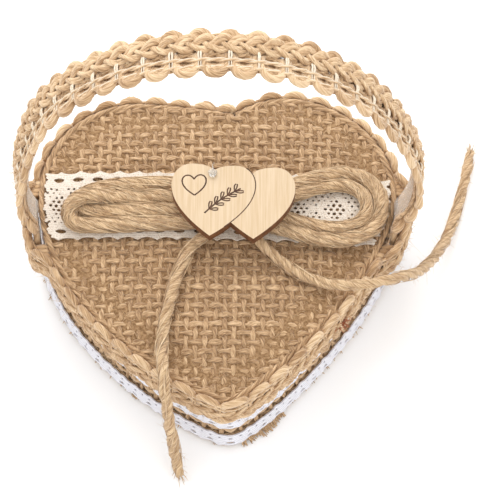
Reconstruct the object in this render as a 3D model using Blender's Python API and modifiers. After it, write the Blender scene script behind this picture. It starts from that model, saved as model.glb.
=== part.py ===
"""Heart-shaped ring bearer pillow with an upright strap handle.

Metres, +Z up. The origin is on the resting face, under the middle of the heart; the tip points to -Y.
"""

import math

import bmesh
import bpy
from mathutils import Vector

MM = 0.001

# Heart outline of the face: anchor points and the lengths of the curve handles at them.
HALF_WIDTH = 50.5 * MM
TIP = Vector((3.3, -48.0)) * MM
NOTCH = Vector((4.5, 43.4)) * MM
LOBE_LEFT = Vector((-23.6, 46.9)) * MM
LOBE_RIGHT = Vector((20.2, 48.8)) * MM
WIDEST_Y = 16.3 * MM
NOTCH_ROUND = 6.0 * MM
TIP_ROUND = 7.4 * MM
FLANK_LEFT = 36.0 * MM
FLANK_RIGHT = 22.3 * MM
OUTLINE_STEPS = 14

# Heights of the block, from the resting face up.
GAP = 0.3 * MM
BASE_COVER = 1.0 * MM
BASE_CARD = 1.2 * MM
FACE_EDGE_Z = 27.0 * MM
FACE_CLOTH = 1.2 * MM
WADDING = 1.4 * MM
CROWN = 2.0 * MM
WALL_CLOTH = 1.2 * MM

# Trims round the wall.
LACE_THICKNESS = 0.6 * MM
LOWER_LACE_Z = 2.0 * MM
LOWER_LACE_WIDTH = 6.0 * MM
UPPER_LACE_WIDTH = 5.8 * MM
UPPER_LACE_UNDER_RIM = 0.7 * MM
RIM_WIDTH = 14.5 * MM
RIM_ABOVE_FACE = 3.0 * MM
RIM_THICKNESS = 2.4 * MM

# Handle: one strap of braid with a clear plastic strip inside it.
HANDLE_Y = 8.5 * MM
HANDLE_HALF_SPAN = 57.5 * MM
HANDLE_RISE = 82.0 * MM
HANDLE_ROUNDNESS = 2.15
HANDLE_X = 0.5 * MM
FOOT_INSET_HEIGHT = 27.0 * MM
BRAID_WIDTH = 14.0 * MM
BRAID_THICKNESS = 2.2 * MM
STRIP_WIDTH = 8.0 * MM
STRIP_THICKNESS = 0.4 * MM
HINGE_GAP = 0.6 * MM
FOOT_ABOVE_RIM_HEM = 1.5 * MM
STATION = 4.0 * MM

# Lace band across the face.
FACE_LACE_WIDTH = 23.0 * MM
FACE_LACE_MIDDLE_Y = 11.5 * MM
FACE_LACE_SLOPE = -0.025
FACE_LACE_END_INSET = 1.0 * MM
FACE_LACE_THICKNESS = 0.5 * MM

# Jute twine.
TWINE = 2.8 * MM
TWINE_STEP = 6.0 * MM
KNOT_CENTRE = Vector((4.0, 10.5)) * MM
KNOT_HALF_WIDTH = 4.0 * MM
KNOT_HALF_LENGTH = 5.6 * MM
KNOT_HEIGHT = 5.6 * MM

# Plywood charm: two hearts in one piece.
CHARM_THICKNESS = 2.8 * MM
CHARM_HALF_WIDTH = 11.8 * MM
CHARM_HEIGHT = 23.0 * MM
CHARM_LEFT = Vector((-1.2, 8.0)) * MM
CHARM_RIGHT = Vector((10.2, 7.0)) * MM
CHARM_LEFT_TURN = math.radians(-3.5)
CHARM_RIGHT_TURN = math.radians(0)
GLUE_RADIUS = 1.6 * MM
GLUE_HEIGHT = 1.6 * MM
GLUE_GAP = 0.1 * MM

RIM_TOP = FACE_EDGE_Z + RIM_ABOVE_FACE
RIM_Z = RIM_TOP - RIM_WIDTH
PIVOT_Z = RIM_TOP + HINGE_GAP + BRAID_WIDTH / 2

# Cord routes, in millimetres: x, y and the height of the cord's centre.
TAIL_LEFT_ROUTE = [
    (1.2, 3.1, 31.6), (-3.0, 0.9, 31.6), (-7.3, -3.0, 31.2), (-10.3, -9.8, 30.6), (-12.8, -19.2, 30.3),
    (-14.4, -27.6, 29.9), (-14.6, -33.6, 30.7), (-14.4, -38.2, 31.9), (-14.1, -42.8, 31.9),
    (-13.6, -47.0, 29.2), (-13.1, -50.2, 23.6), (-12.4, -52.6, 16.5), (-11.9, -54.2, 10.5),
    (-11.2, -56.2, 5.4), (-10.4, -59.6, 1.9),
]
TAIL_RIGHT_ROUTE = [
    (9.0, 3.2, 31.6), (13.2, -2.6, 31.2), (18.6, -7.6, 30.5), (23.4, -11.0, 30.3), (29.2, -13.7, 30.5),
    (35.2, -15.2, 31.6), (41.0, -15.2, 32.2), (46.6, -13.6, 31.2), (51.6, -10.6, 28.2), (56.0, -6.2, 22.0),
    (60.2, 0.4, 14.6), (64.2, 8.4, 8.0), (68.2, 17.6, 3.8), (71.6, 26.6, 1.8), (75.0, 37.6, 1.6),
    (78.0, 47.2, 1.6),
]
LOOP_LEFT_BACK_ROUTE = [
    (-0.4, 15.0, 31.6), (-7.8, 17.0, 31.5), (-16.3, 17.6, 31.3), (-24.0, 17.4, 31.1), (-31.0, 16.9, 30.8),
    (-36.6, 15.2, 30.5), (-39.2, 12.6, 30.4), (-37.8, 9.8, 30.5), (-33.0, 8.9, 30.8), (-24.0, 8.9, 31.2),
    (-16.3, 9.0, 31.4), (-8.0, 8.9, 31.6), (-0.4, 8.8, 31.6),
]
LOOP_LEFT_FRONT_ROUTE = [
    (-0.4, 11.9, 31.6), (-8.0, 12.9, 31.5), (-16.2, 13.3, 31.4), (-24.0, 13.2, 31.1), (-30.0, 13.0, 32.1),
    (-35.6, 12.8, 33.7), (-40.4, 11.8, 33.6), (-43.4, 9.0, 32.0), (-42.2, 5.6, 30.5), (-36.4, 4.5, 30.6),
    (-26.0, 4.6, 31.1), (-16.2, 4.9, 31.4), (-8.0, 5.2, 31.6), (-0.4, 5.6, 31.6),
]
LOOP_RIGHT_OUTER_ROUTE = [
    (8.4, 15.0, 31.5), (16.5, 16.0, 31.3), (23.5, 18.2, 31.1), (30.0, 20.6, 30.7), (36.8, 21.6, 30.4),
    (42.4, 19.8, 30.1), (45.8, 15.6, 29.9), (46.6, 10.4, 29.9), (44.6, 4.8, 30.1), (40.2, 1.1, 30.4),
    (34.0, -0.4, 30.7), (27.0, 0.3, 31.1), (17.5, 3.2, 31.4), (8.4, 5.7, 31.6),
]
LOOP_RIGHT_INNER_ROUTE = [
    (8.4, 11.9, 31.5), (16.5, 12.4, 31.4), (23.0, 14.2, 31.2), (29.4, 16.6, 30.9), (35.4, 17.6, 30.5),
    (40.2, 16.0, 30.3), (42.4, 12.2, 30.2), (42.0, 8.0, 30.3), (38.9, 4.9, 30.5), (33.8, 3.6, 30.8),
    (27.4, 4.2, 31.1), (17.6, 6.9, 31.4), (8.4, 8.8, 31.6),
]


# ---- Scene, materials and small helpers ----

def clear_scene():
    for obj in list(bpy.data.objects):
        bpy.data.objects.remove(obj, do_unlink=True)


def new_collection(name):
    collection = bpy.data.collections.new(name)
    bpy.context.scene.collection.children.link(collection)
    return collection


def new_material(name, colour, roughness):
    material = bpy.data.materials.new(name)
    material.use_nodes = True
    shader = material.node_tree.nodes["Principled BSDF"]
    shader.inputs["Base Color"].default_value = (*colour, 1.0)
    shader.inputs["Roughness"].default_value = roughness
    shader.inputs["Metallic"].default_value = 0.0
    return material


def add_object(name, data, material, collection):
    obj = bpy.data.objects.new(name, data)
    data.materials.append(material)
    collection.objects.link(obj)
    return obj


def take_primitive(name, material, collection):
    """Names the primitive that was just added and moves it to its collection."""
    obj = bpy.context.object
    obj.name = name
    obj.data.name = name
    for other in list(obj.users_collection):
        other.objects.unlink(obj)
    collection.objects.link(obj)
    obj.data.materials.append(material)
    return obj


def bezier(start, start_handle, end_handle, end, steps):
    """Points on one curve segment, without its last point."""
    points = []
    for i in range(steps):
        t = i / steps
        u = 1 - t
        points.append(start * u ** 3 + start_handle * 3 * u * u * t + end_handle * 3 * u * t * t + end * t ** 3)
    return points


# ---- The heart outline and what follows it ----

def heart_outline():
    """Counter-clockwise from the notch: left lobe, left side, tip, right side, right lobe."""
    left = Vector((-HALF_WIDTH, WIDEST_Y))
    right = Vector((HALF_WIDTH, WIDEST_Y))
    along = Vector((1, 0))
    up = Vector((0, 1))
    lobe_height = LOBE_RIGHT.y - WIDEST_Y
    segments = [
        (NOTCH, -along * NOTCH_ROUND, LOBE_LEFT, along * NOTCH_ROUND),
        (LOBE_LEFT, -along * 0.2 * HALF_WIDTH, left, up * 0.7 * lobe_height),
        (left, -up * FLANK_LEFT, TIP, -along * TIP_ROUND),
        (TIP, along * TIP_ROUND, right, -up * FLANK_RIGHT),
        (right, up * 0.68 * lobe_height, LOBE_RIGHT, along * 0.2 * HALF_WIDTH),
        (LOBE_RIGHT, -along * 1.2 * NOTCH_ROUND, NOTCH, along * NOTCH_ROUND),
    ]
    points = []
    for start, start_out, end, end_out in segments:
        points += bezier(start, start + start_out, end + end_out, end, OUTLINE_STEPS)
    return points


def outward(points, i):
    """Unit normal of a counter-clockwise loop at point i."""
    ahead = points[(i + 1) % len(points)]
    behind = points[i - 1]
    run = ahead - behind
    return Vector((run.y, -run.x)).normalized()


def grown(distance):
    """The outline moved out by a distance, which may be a function of the point."""
    points = heart_outline()
    offset = distance if callable(distance) else lambda p: distance
    return [p + outward(points, i) * offset(p) for i, p in enumerate(points)]


def edge_x(loop, y, side):
    """Where a loop crosses a height of the heart; side is -1 for the left and 1 for the right."""
    points = [p for p in loop if p.x * side > 0]
    below = max((p for p in points if p.y <= y), key=lambda p: (p.y, p.x * side))
    above = min((p for p in points if p.y > y), key=lambda p: (p.y, -p.x * side))
    share = (y - below.y) / (above.y - below.y)
    return below.x + (above.x - below.x) * share


def tab_bulge(point):
    """1 where a handle foot lies under the rim braid, falling smoothly to 0 beside it."""
    reach = max(0.0, abs(point.y - HANDLE_Y) - BRAID_WIDTH / 2 - 5 * MM)
    fade = max(0.0, 1 - reach / (BRAID_WIDTH * 0.8))
    return fade * fade * (3 - 2 * fade)


STRIP_TAB_INNER = GAP
BRAID_TAB_INNER = STRIP_TAB_INNER + STRIP_THICKNESS + GAP
POCKET = BRAID_TAB_INNER + BRAID_THICKNESS


def rim_inner(point):
    return GAP + POCKET * tab_bulge(point)


def flat_piece(name, loops, bottom, top, material, collection):
    """A flat outline with straight sides, closed above and below; a second loop is a hole."""
    curve = bpy.data.curves.new(name, "CURVE")
    curve.dimensions = "2D"
    curve.fill_mode = "BOTH"
    curve.extrude = (top - bottom) / 2
    for loop in loops:
        spline = curve.splines.new("POLY")
        spline.points.add(len(loop) - 1)
        for point, place in zip(spline.points, loop):
            point.co = (place.x, place.y, 0, 1)
        spline.use_cyclic_u = True
    obj = add_object(name, curve, material, collection)
    obj.location.z = (top + bottom) / 2
    return obj


def wall_band(name, inner, thickness, bottom, top, material, collection):
    """A band that goes all round the wall."""
    inner_offset = inner if callable(inner) else lambda p: inner
    outer = grown(lambda p: inner_offset(p) + thickness)
    return flat_piece(name, [outer, grown(inner_offset)], bottom, top, material, collection)


def crown_height(x, y):
    """How far the padded face stands above its edge."""
    across = x / HALF_WIDTH
    along = (y - 4 * MM) / (HALF_WIDTH * 1.04)
    return CROWN * max(0.0, 1 - across * across - along * along)


def crowned_piece(name, outline, bottom, thickness, material, collection):
    """A cloth or pad that follows the crown: a filled outline, divided, lifted and thickened."""
    mesh = bpy.data.meshes.new(name)
    bm = bmesh.new()
    rings = []
    centre = Vector((0, 4 * MM))
    for share in (1.0, 0.8, 0.55, 0.3):
        rings.append([bm.verts.new((*(centre + (p - centre) * share), bottom)) for p in outline])
    for ring, inner in zip(rings, rings[1:]):
        for i in range(len(ring)):
            bm.faces.new((ring[i - 1], ring[i], inner[i], inner[i - 1]))
    bm.faces.new(rings[-1])
    for vert in bm.verts:
        vert.co.z += crown_height(vert.co.x, vert.co.y)
    bmesh.ops.triangulate(bm, faces=bm.faces[:])
    bm.to_mesh(mesh)
    bm.free()
    obj = add_object(name, mesh, material, collection)
    thicken(obj, thickness, 1)
    return obj


def thicken(obj, thickness, side):
    solidify = obj.modifiers.new("thickness", "SOLIDIFY")
    solidify.thickness = thickness
    solidify.offset = side


def build_block(mats, parts):
    inside = -WALL_CLOTH - GAP
    card_bottom = BASE_COVER + GAP
    foam_bottom = card_bottom + BASE_CARD + GAP
    face_bottom = FACE_EDGE_Z - FACE_CLOTH
    wadding_bottom = face_bottom - GAP - WADDING
    wall_top = face_bottom - GAP
    flat_piece("base_cover", [grown(inside)], 0, BASE_COVER, mats["burlap"], parts)
    flat_piece("base_card", [grown(inside)], card_bottom, card_bottom + BASE_CARD, mats["card"], parts)
    flat_piece("foam_core", [grown(inside)], foam_bottom, wadding_bottom - GAP, mats["foam"], parts)
    crowned_piece("wadding", grown(inside - 1 * MM), wadding_bottom, WADDING, mats["wadding"], parts)
    crowned_piece("top_cover", grown(0), face_bottom, FACE_CLOTH, mats["burlap"], parts)
    wall_band("side_cover", -WALL_CLOTH, WALL_CLOTH, 0, wall_top, mats["burlap"], parts)


def build_wall_trims(mats, parts):
    lower_top = LOWER_LACE_Z + LOWER_LACE_WIDTH
    upper_top = RIM_Z - UPPER_LACE_UNDER_RIM
    upper_bottom = upper_top - UPPER_LACE_WIDTH
    wall_band("side_lace_lower", GAP, LACE_THICKNESS, LOWER_LACE_Z, lower_top, mats["side_lace"], parts)
    wall_band("side_lace_upper", GAP, LACE_THICKNESS, upper_bottom, upper_top, mats["side_lace"], parts)
    wall_band("rim_braid", rim_inner, RIM_THICKNESS, RIM_Z, RIM_TOP, mats["braid"], parts)


def foot_outline(side, width, inner, thickness):
    """A stretch of cloth along the wall at one handle foot; side is -1 for the left and 1 for the right."""
    heights = [HANDLE_Y + width * (i / 4 - 0.5) for i in range(5)]
    wall_side = [Vector((edge_x(grown(inner), y, side), y)) for y in heights]
    open_side = [Vector((edge_x(grown(inner + thickness), y, side), y)) for y in heights]
    return wall_side + open_side[::-1]


def build_feet(mats, parts):
    """The feet of the strap stand between the wall and the rim braid."""
    top = RIM_TOP
    bottom = RIM_Z + FOOT_ABOVE_RIM_HEM
    for word, side in (("left", -1), ("right", 1)):
        strip = foot_outline(side, STRIP_WIDTH, STRIP_TAB_INNER, STRIP_THICKNESS)
        flat_piece(f"strip_tab_{word}", [strip], bottom, top, mats["strip"], parts)
        braid = foot_outline(side, BRAID_WIDTH, BRAID_TAB_INNER, BRAID_THICKNESS)
        flat_piece(f"braid_tab_{word}", [braid], bottom, top, mats["braid"], parts)


# ---- The handle ----

def handle_path(inward):
    """Even points on the arch, in X and Z, from the left foot to the right; each foot meets its tab."""
    bottom = PIVOT_Z - BRAID_WIDTH / 2
    arch = []
    for i in range(2001):
        angle = math.pi * (1 - i / 2000)
        reach = math.copysign(abs(math.cos(angle)) ** (2 / HANDLE_ROUNDNESS), math.cos(angle))
        height = math.sin(angle) ** (2 / HANDLE_ROUNDNESS)
        place = Vector((HANDLE_X + reach * (HANDLE_HALF_SPAN - inward), FACE_EDGE_Z + height * (HANDLE_RISE - inward)))
        if place.y >= bottom:
            arch.append(place)
    tab_middle = grown(BRAID_TAB_INNER + BRAID_THICKNESS / 2 - inward)
    left_shift = edge_x(tab_middle, HANDLE_Y, -1) - arch[0].x
    right_shift = edge_x(tab_middle, HANDLE_Y, 1) - arch[-1].x
    drawn_in = []
    for place in arch:
        share = max(0.0, 1 - (place.y - bottom) / FOOT_INSET_HEIGHT)
        shift = left_shift if place.x < 0 else right_shift
        drawn_in.append(Vector((place.x + shift * share * share, place.y)))
    return spread_evenly(drawn_in, STATION)


def spread_evenly(points, spacing):
    lengths = [0.0]
    for a, b in zip(points, points[1:]):
        lengths.append(lengths[-1] + (b - a).length)
    count = max(2, round(lengths[-1] / spacing))
    even = []
    k = 0
    for i in range(count + 1):
        want = lengths[-1] * i / count
        while k < len(points) - 2 and lengths[k + 1] < want:
            k += 1
        share = (want - lengths[k]) / (lengths[k + 1] - lengths[k])
        even.append(points[k].lerp(points[k + 1], min(1.0, share)))
    return even


def foot_half_width(height, full):
    """The moving strap's foot is round about the hinge axis, so that it can tilt."""
    radius = BRAID_WIDTH / 2
    below = PIVOT_Z - height
    if below <= 0:
        return full
    return min(full, max(1.2 * MM, math.sqrt(max(0.0, radius ** 2 - below ** 2))))


def strap(name, inward, half_width, thickness, hinge, material, collection):
    path = handle_path(inward)
    mesh = bpy.data.meshes.new(name)
    bm = bmesh.new()
    rows = []
    for place in path:
        wide = foot_half_width(place.y, half_width)
        rows.append([bm.verts.new((place.x, share * wide, place.y - PIVOT_Z)) for share in (-1, 1)])
    for row, following in zip(rows, rows[1:]):
        bm.faces.new((row[0], row[1], following[1], following[0]))
    bmesh.ops.recalc_face_normals(bm, faces=bm.faces)
    bm.to_mesh(mesh)
    bm.free()
    obj = add_object(name, mesh, material, collection)
    obj.parent = hinge
    thicken(obj, thickness, 0)
    return obj


def build_handle(mats, parts):
    hinge = bpy.data.objects.new("handle_hinge", None)
    parts.objects.link(hinge)
    hinge.location = (0, HANDLE_Y, PIVOT_Z)
    strap("handle_braid", 0, BRAID_WIDTH / 2, BRAID_THICKNESS, hinge, mats["braid"], parts)
    inward = BRAID_THICKNESS / 2 + GAP + STRIP_THICKNESS / 2
    strap("handle_strip", inward, STRIP_WIDTH / 2, STRIP_THICKNESS, hinge, mats["strip"], parts)


# ---- Trims on the face ----

def face_z(x, y):
    return FACE_EDGE_Z + crown_height(x, y)


def build_face_lace(mats, parts):
    """A band laid over the crown of the face."""
    mesh = bpy.data.meshes.new("face_lace")
    bm = bmesh.new()
    columns = 14
    rows = []
    for i in range(columns + 1):
        row = []
        for share in (-1, -0.5, 0, 0.5, 1):
            across = FACE_LACE_MIDDLE_Y + share * FACE_LACE_WIDTH / 2
            left = edge_x(heart_outline(), across, -1) + FACE_LACE_END_INSET
            right = edge_x(heart_outline(), across, 1) - FACE_LACE_END_INSET
            x = left + (right - left) * i / columns
            y = across + FACE_LACE_SLOPE * x
            row.append(bm.verts.new((x, y, face_z(x, y) + GAP)))
        rows.append(row)
    for row, following in zip(rows, rows[1:]):
        for i in range(len(row) - 1):
            bm.faces.new((row[i], following[i], following[i + 1], row[i + 1]))
    bm.to_mesh(mesh)
    bm.free()
    obj = add_object("face_lace", mesh, mats["face_lace"], parts)
    thicken(obj, FACE_LACE_THICKNESS, 1)


def smooth_route(route):
    """A smooth curve through the route's points, read every other diameter."""
    points = [Vector(p) * MM for p in route]
    padded = [points[0] * 2 - points[1], *points, points[-1] * 2 - points[-2]]
    fine = []
    for a, b, c, d in zip(padded, padded[1:], padded[2:], padded[3:]):
        for i in range(24):
            t = i / 24
            fine.append(
                0.5 * (2 * b + (c - a) * t + (2 * a - 5 * b + 4 * c - d) * t * t + (3 * b - a - 3 * c + d) * t ** 3)
            )
    fine.append(points[-1])
    return spread_evenly(fine, TWINE_STEP)


def twine(name, route, mats, parts):
    curve = bpy.data.curves.new(name, "CURVE")
    curve.dimensions = "3D"
    curve.bevel_depth = TWINE / 2
    curve.bevel_resolution = 2
    curve.use_fill_caps = True
    path = smooth_route(route)
    spline = curve.splines.new("POLY")
    spline.points.add(len(path) - 1)
    for point, place in zip(spline.points, path):
        point.co = (*place, 1)
    return add_object(name, curve, mats["twine"], parts)


def build_bow(mats, parts):
    twine("tail_left", TAIL_LEFT_ROUTE, mats, parts)
    twine("tail_right", TAIL_RIGHT_ROUTE, mats, parts)
    twine("bow_loop_left_back", LOOP_LEFT_BACK_ROUTE, mats, parts)
    twine("bow_loop_left_front", LOOP_LEFT_FRONT_ROUTE, mats, parts)
    twine("bow_loop_right_outer", LOOP_RIGHT_OUTER_ROUTE, mats, parts)
    twine("bow_loop_right_inner", LOOP_RIGHT_INNER_ROUTE, mats, parts)
    bpy.ops.mesh.primitive_cube_add(size=1)
    knot = take_primitive("bow_knot", mats["twine"], parts)
    bottom = face_z(KNOT_CENTRE.x, KNOT_CENTRE.y) + GAP + FACE_LACE_THICKNESS + GAP
    for vert in knot.data.vertices:
        vert.co.x *= 2 * KNOT_HALF_WIDTH
        vert.co.y *= 2 * KNOT_HALF_LENGTH
        vert.co.z *= KNOT_HEIGHT
    knot.location = (*KNOT_CENTRE, bottom + KNOT_HEIGHT / 2)
    bevel = knot.modifiers.new("round", "BEVEL")
    bevel.width = 1.2 * MM
    bevel.segments = 3
    return bottom + KNOT_HEIGHT


def charm_heart(centre, turn):
    """A small heart, point down, as a counter-clockwise loop about its middle."""
    w = CHARM_HALF_WIDTH
    top = CHARM_HEIGHT * 0.5
    notch = Vector((0, top * 0.80))
    tip = Vector((0, -top))
    lobe = Vector((w * 0.52, top))
    side = Vector((w, top * 0.42))
    half = bezier(tip, tip + Vector((w * 0.30, w * 0.22)), side - Vector((0, w * 0.62)), side, 8)
    half += bezier(side, side + Vector((0, w * 0.34)), lobe + Vector((w * 0.28, 0)), lobe, 6)
    half += bezier(lobe, lobe - Vector((w * 0.26, 0)), notch + Vector((0, w * 0.12)), notch, 6)
    mirrored = [Vector((-p.x, p.y)) for p in reversed(half[1:])]
    loop = half + [notch] + mirrored
    spin = (math.cos(turn), math.sin(turn))
    return [centre + Vector((p.x * spin[0] - p.y * spin[1], p.x * spin[1] + p.y * spin[0])) for p in loop]


def mesh_from_curve(obj):
    """The same object with its outline turned into a welded mesh, ready for a Boolean."""
    name = obj.name
    depsgraph = bpy.context.evaluated_depsgraph_get()
    mesh = bpy.data.meshes.new_from_object(obj.evaluated_get(depsgraph))
    bm = bmesh.new()
    bm.from_mesh(mesh)
    bmesh.ops.remove_doubles(bm, verts=bm.verts, dist=0.01 * MM)
    bm.to_mesh(mesh)
    bm.free()
    welded = bpy.data.objects.new(name, mesh)
    welded.matrix_world = obj.matrix_world
    obj.users_collection[0].objects.link(welded)
    bpy.data.objects.remove(obj, do_unlink=True)
    welded.name = name
    return welded


def build_charm(mats, parts, cutters, knot_top):
    bottom = knot_top + GAP
    top = bottom + CHARM_THICKNESS
    left = flat_piece("heart_charm", [charm_heart(CHARM_LEFT, CHARM_LEFT_TURN)], bottom, top, mats["wood"], parts)
    right = flat_piece("charm_right_heart", [charm_heart(CHARM_RIGHT, CHARM_RIGHT_TURN)], bottom, top, mats["wood"], cutters)
    bpy.context.view_layer.update()
    charm = mesh_from_curve(left)
    second = mesh_from_curve(right)
    second.hide_render = True
    second.display_type = "WIRE"
    union = charm.modifiers.new("second heart", "BOOLEAN")
    union.operation = "UNION"
    union.object = second
    return top


def build_glue(mats, parts, charm_top):
    """A dab of glue on the wood by the notch of the left heart."""
    bpy.ops.mesh.primitive_uv_sphere_add(segments=12, ring_count=8, radius=GLUE_RADIUS)
    dab = take_primitive("glue_dab", mats["glue"], parts)
    for vert in dab.data.vertices:
        vert.co.z *= GLUE_HEIGHT / (2 * GLUE_RADIUS)
    dab.data.shade_smooth()
    place = CHARM_LEFT + Vector((0, CHARM_HEIGHT * 0.36))
    dab.location = (*place, charm_top + GLUE_HEIGHT / 2 + GLUE_GAP)


def main():
    clear_scene()
    parts = new_collection("ring_bearer_pillow")
    cutters = new_collection("cutters")
    mats = {
        "burlap": new_material("burlap", (0.52, 0.34, 0.18), 0.95),
        "braid": new_material("jute_braid", (0.60, 0.42, 0.24), 0.92),
        "twine": new_material("jute_twine", (0.62, 0.45, 0.26), 0.92),
        "side_lace": new_material("white_lace", (0.86, 0.86, 0.88), 0.9),
        "face_lace": new_material("cream_lace", (0.87, 0.83, 0.76), 0.9),
        "card": new_material("grey_card", (0.45, 0.42, 0.38), 0.85),
        "foam": new_material("white_foam", (0.90, 0.90, 0.88), 0.8),
        "wadding": new_material("white_wadding", (0.92, 0.92, 0.90), 0.95),
        "strip": new_material("clear_plastic", (0.85, 0.85, 0.82), 0.25),
        "wood": new_material("plywood", (0.88, 0.74, 0.50), 0.6),
        "glue": new_material("hot_glue", (0.85, 0.83, 0.78), 0.3),
    }
    build_block(mats, parts)
    build_wall_trims(mats, parts)
    build_feet(mats, parts)
    build_handle(mats, parts)
    build_face_lace(mats, parts)
    knot_top = build_bow(mats, parts)
    charm_top = build_charm(mats, parts, cutters, knot_top)
    build_glue(mats, parts, charm_top)


main()
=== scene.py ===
import math

import bmesh
import bpy
import numpy as np
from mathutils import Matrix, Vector
from mathutils.bvhtree import BVHTree


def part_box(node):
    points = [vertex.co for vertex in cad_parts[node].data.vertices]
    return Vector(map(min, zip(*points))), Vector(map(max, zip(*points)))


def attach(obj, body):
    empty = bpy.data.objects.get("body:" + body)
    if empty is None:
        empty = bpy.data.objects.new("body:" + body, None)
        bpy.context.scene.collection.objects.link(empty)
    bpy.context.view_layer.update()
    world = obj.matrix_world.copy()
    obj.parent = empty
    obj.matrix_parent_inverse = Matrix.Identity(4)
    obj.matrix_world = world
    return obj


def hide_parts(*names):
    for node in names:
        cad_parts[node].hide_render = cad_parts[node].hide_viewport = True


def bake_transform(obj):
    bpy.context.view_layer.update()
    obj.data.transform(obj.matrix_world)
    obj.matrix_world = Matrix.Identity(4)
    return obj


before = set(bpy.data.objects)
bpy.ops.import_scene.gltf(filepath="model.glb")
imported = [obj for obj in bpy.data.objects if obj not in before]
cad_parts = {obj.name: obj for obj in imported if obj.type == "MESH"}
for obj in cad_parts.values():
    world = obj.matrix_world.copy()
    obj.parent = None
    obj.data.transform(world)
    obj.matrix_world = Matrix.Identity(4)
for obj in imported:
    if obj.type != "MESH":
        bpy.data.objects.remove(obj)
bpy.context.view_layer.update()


# ---- Camera ----
# It stands in front of the pillow and looks steeply down on its face.
# Its long lens keeps the far side of the heart nearly as wide as the near side.

def placed(name, data):
    """An object made of this data, put in the scene."""
    obj = bpy.data.objects.new(name, data)
    bpy.context.scene.collection.objects.link(obj)
    return obj


look_at = Vector((0.0093, -0.0015, 0.027))
tilt = math.radians(61)
distance = 0.6
camera_data = bpy.data.cameras.new("camera")
camera_data.sensor_width = 36.0
camera_data.lens = 153.4
camera = placed("camera", camera_data)
camera.location = look_at + distance * Vector((0, -math.cos(tilt), math.sin(tilt)))
camera.rotation_euler = (look_at - camera.location).to_track_quat("-Z", "Y").to_euler()
bpy.context.scene.camera = camera


# ---- Table and light ----
# A plain white table under an even white studio, with broad soft light from above.
# One lamp stands behind the pillow and one in front of it, to the right.

def new_material(name, values):
    """A material whose shader has the given values: itself, its nodes, its links and its shader."""
    material = bpy.data.materials.new(name)
    material.use_nodes = True
    nodes = material.node_tree.nodes
    shader = nodes["Principled BSDF"]
    for socket, value in values.items():
        shader.inputs[socket].default_value = value
    return material, nodes, material.node_tree.links, shader


bpy.ops.object.select_all(action="DESELECT")
bpy.ops.mesh.primitive_plane_add(size=6, location=(0, 0, 0))
table = bpy.context.object
table.name = "table"
table_white = new_material("table white", {
    "Base Color": (0.985, 0.985, 0.985, 1), "Roughness": 0.9, "Specular IOR Level": 0.1})[0]
table.data.materials.append(table_white)
sky = bpy.data.worlds.new("studio")
sky.use_nodes = True
backdrop = sky.node_tree.nodes["Background"]
backdrop.inputs["Color"].default_value = (1, 1, 1, 1)
backdrop.inputs["Strength"].default_value = 1.22
bpy.context.scene.world = sky
bpy.context.scene.view_settings.view_transform = "Standard"
for name, place, size, power in (("key", (-0.08, 0.32, 0.36), 0.36, 1.15),
                                 ("fill", (0.5, -0.6, 0.9), 0.9, 1.2)):
    lamp = bpy.data.lights.new(name, "AREA")
    lamp.size = size
    lamp.energy = power
    light = placed(name, lamp)
    light.location = place
    light.rotation_euler = (Vector((0, 0, 0.03)) - light.location).to_track_quat("-Z", "Y").to_euler()


# ---- Base and card ----
# A heart of stiff grey card keeps the pillow's shape.
# A panel of burlap is glued under it and lies flat on the table.

def add_node(nodes, kind, values):
    """A node with the given values on its sockets."""
    node = nodes.new("ShaderNode" + kind)
    for socket, value in values.items():
        node.inputs[socket].default_value = value
    return node


def colour_by(nodes, links, shader, source, stops):
    """Colours the shader from a source, through stops of (position, colour)."""
    ramp = nodes.new("ShaderNodeValToRGB")
    first, last = ramp.color_ramp.elements
    for element, (position, colour) in ((first, stops[0]), (last, stops[-1])):
        element.position = position
        element.color = (*colour, 1)
    for position, colour in stops[1:-1]:
        ramp.color_ramp.elements.new(position).color = (*colour, 1)
    links.new(source, ramp.inputs[0])
    links.new(ramp.outputs[0], shader.inputs["Base Color"])


def relief_by(nodes, links, shader, source, strength, distance):
    """Gives the shader a fine relief, whose height comes from a source."""
    relief = add_node(nodes, "Bump", {"Strength": strength, "Distance": distance})
    links.new(source, relief.inputs["Height"])
    links.new(relief.outputs[0], shader.inputs["Normal"])


def plain_cloth(name, colour, second, scale, bump, roughness=0.95):
    """A soft matt material with a mottled colour and a fine surface."""
    material, nodes, links, shader = new_material(name, {"Roughness": roughness, "Specular IOR Level": 0.2})
    where = nodes.new("ShaderNodeTexCoord")
    grain = add_node(nodes, "TexNoise", {"Scale": scale, "Detail": 5.0})
    links.new(where.outputs["Object"], grain.inputs["Vector"])
    colour_by(nodes, links, shader, grain.outputs["Fac"], ((0.35, second), (0.65, colour)))
    relief_by(nodes, links, shader, grain.outputs["Fac"], bump, 0.0004)
    return material


grey_card = plain_cloth("grey card", (0.45, 0.42, 0.37), (0.36, 0.33, 0.29), 700, 0.3)
base_burlap = plain_cloth("base burlap", (0.50, 0.32, 0.18), (0.20, 0.11, 0.055), 420, 0.9)
for node, material in (("base_card", grey_card), ("base_cover", base_burlap)):
    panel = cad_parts[node]
    panel.data.materials.clear()
    panel.data.materials.append(material)


# ---- The pad ----
# A block of foam with a skin of wadding over it, cut to the heart.
# The wadding pads it out a little, and its top gives the face its soft crown.

half_width = 50.5
widest_y = 16.3
face_edge = 27.0


def bend(start, start_handle, end_handle, end, steps):
    """Points along a curve from start to end, drawn towards two handles on the way."""
    t = np.linspace(0, 1, steps, endpoint=False)[:, None]
    u = 1 - t
    return (np.array(start) * u ** 3 + np.array(start_handle) * 3 * u * u * t
            + np.array(end_handle) * 3 * u * t * t + np.array(end) * t ** 3)


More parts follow.
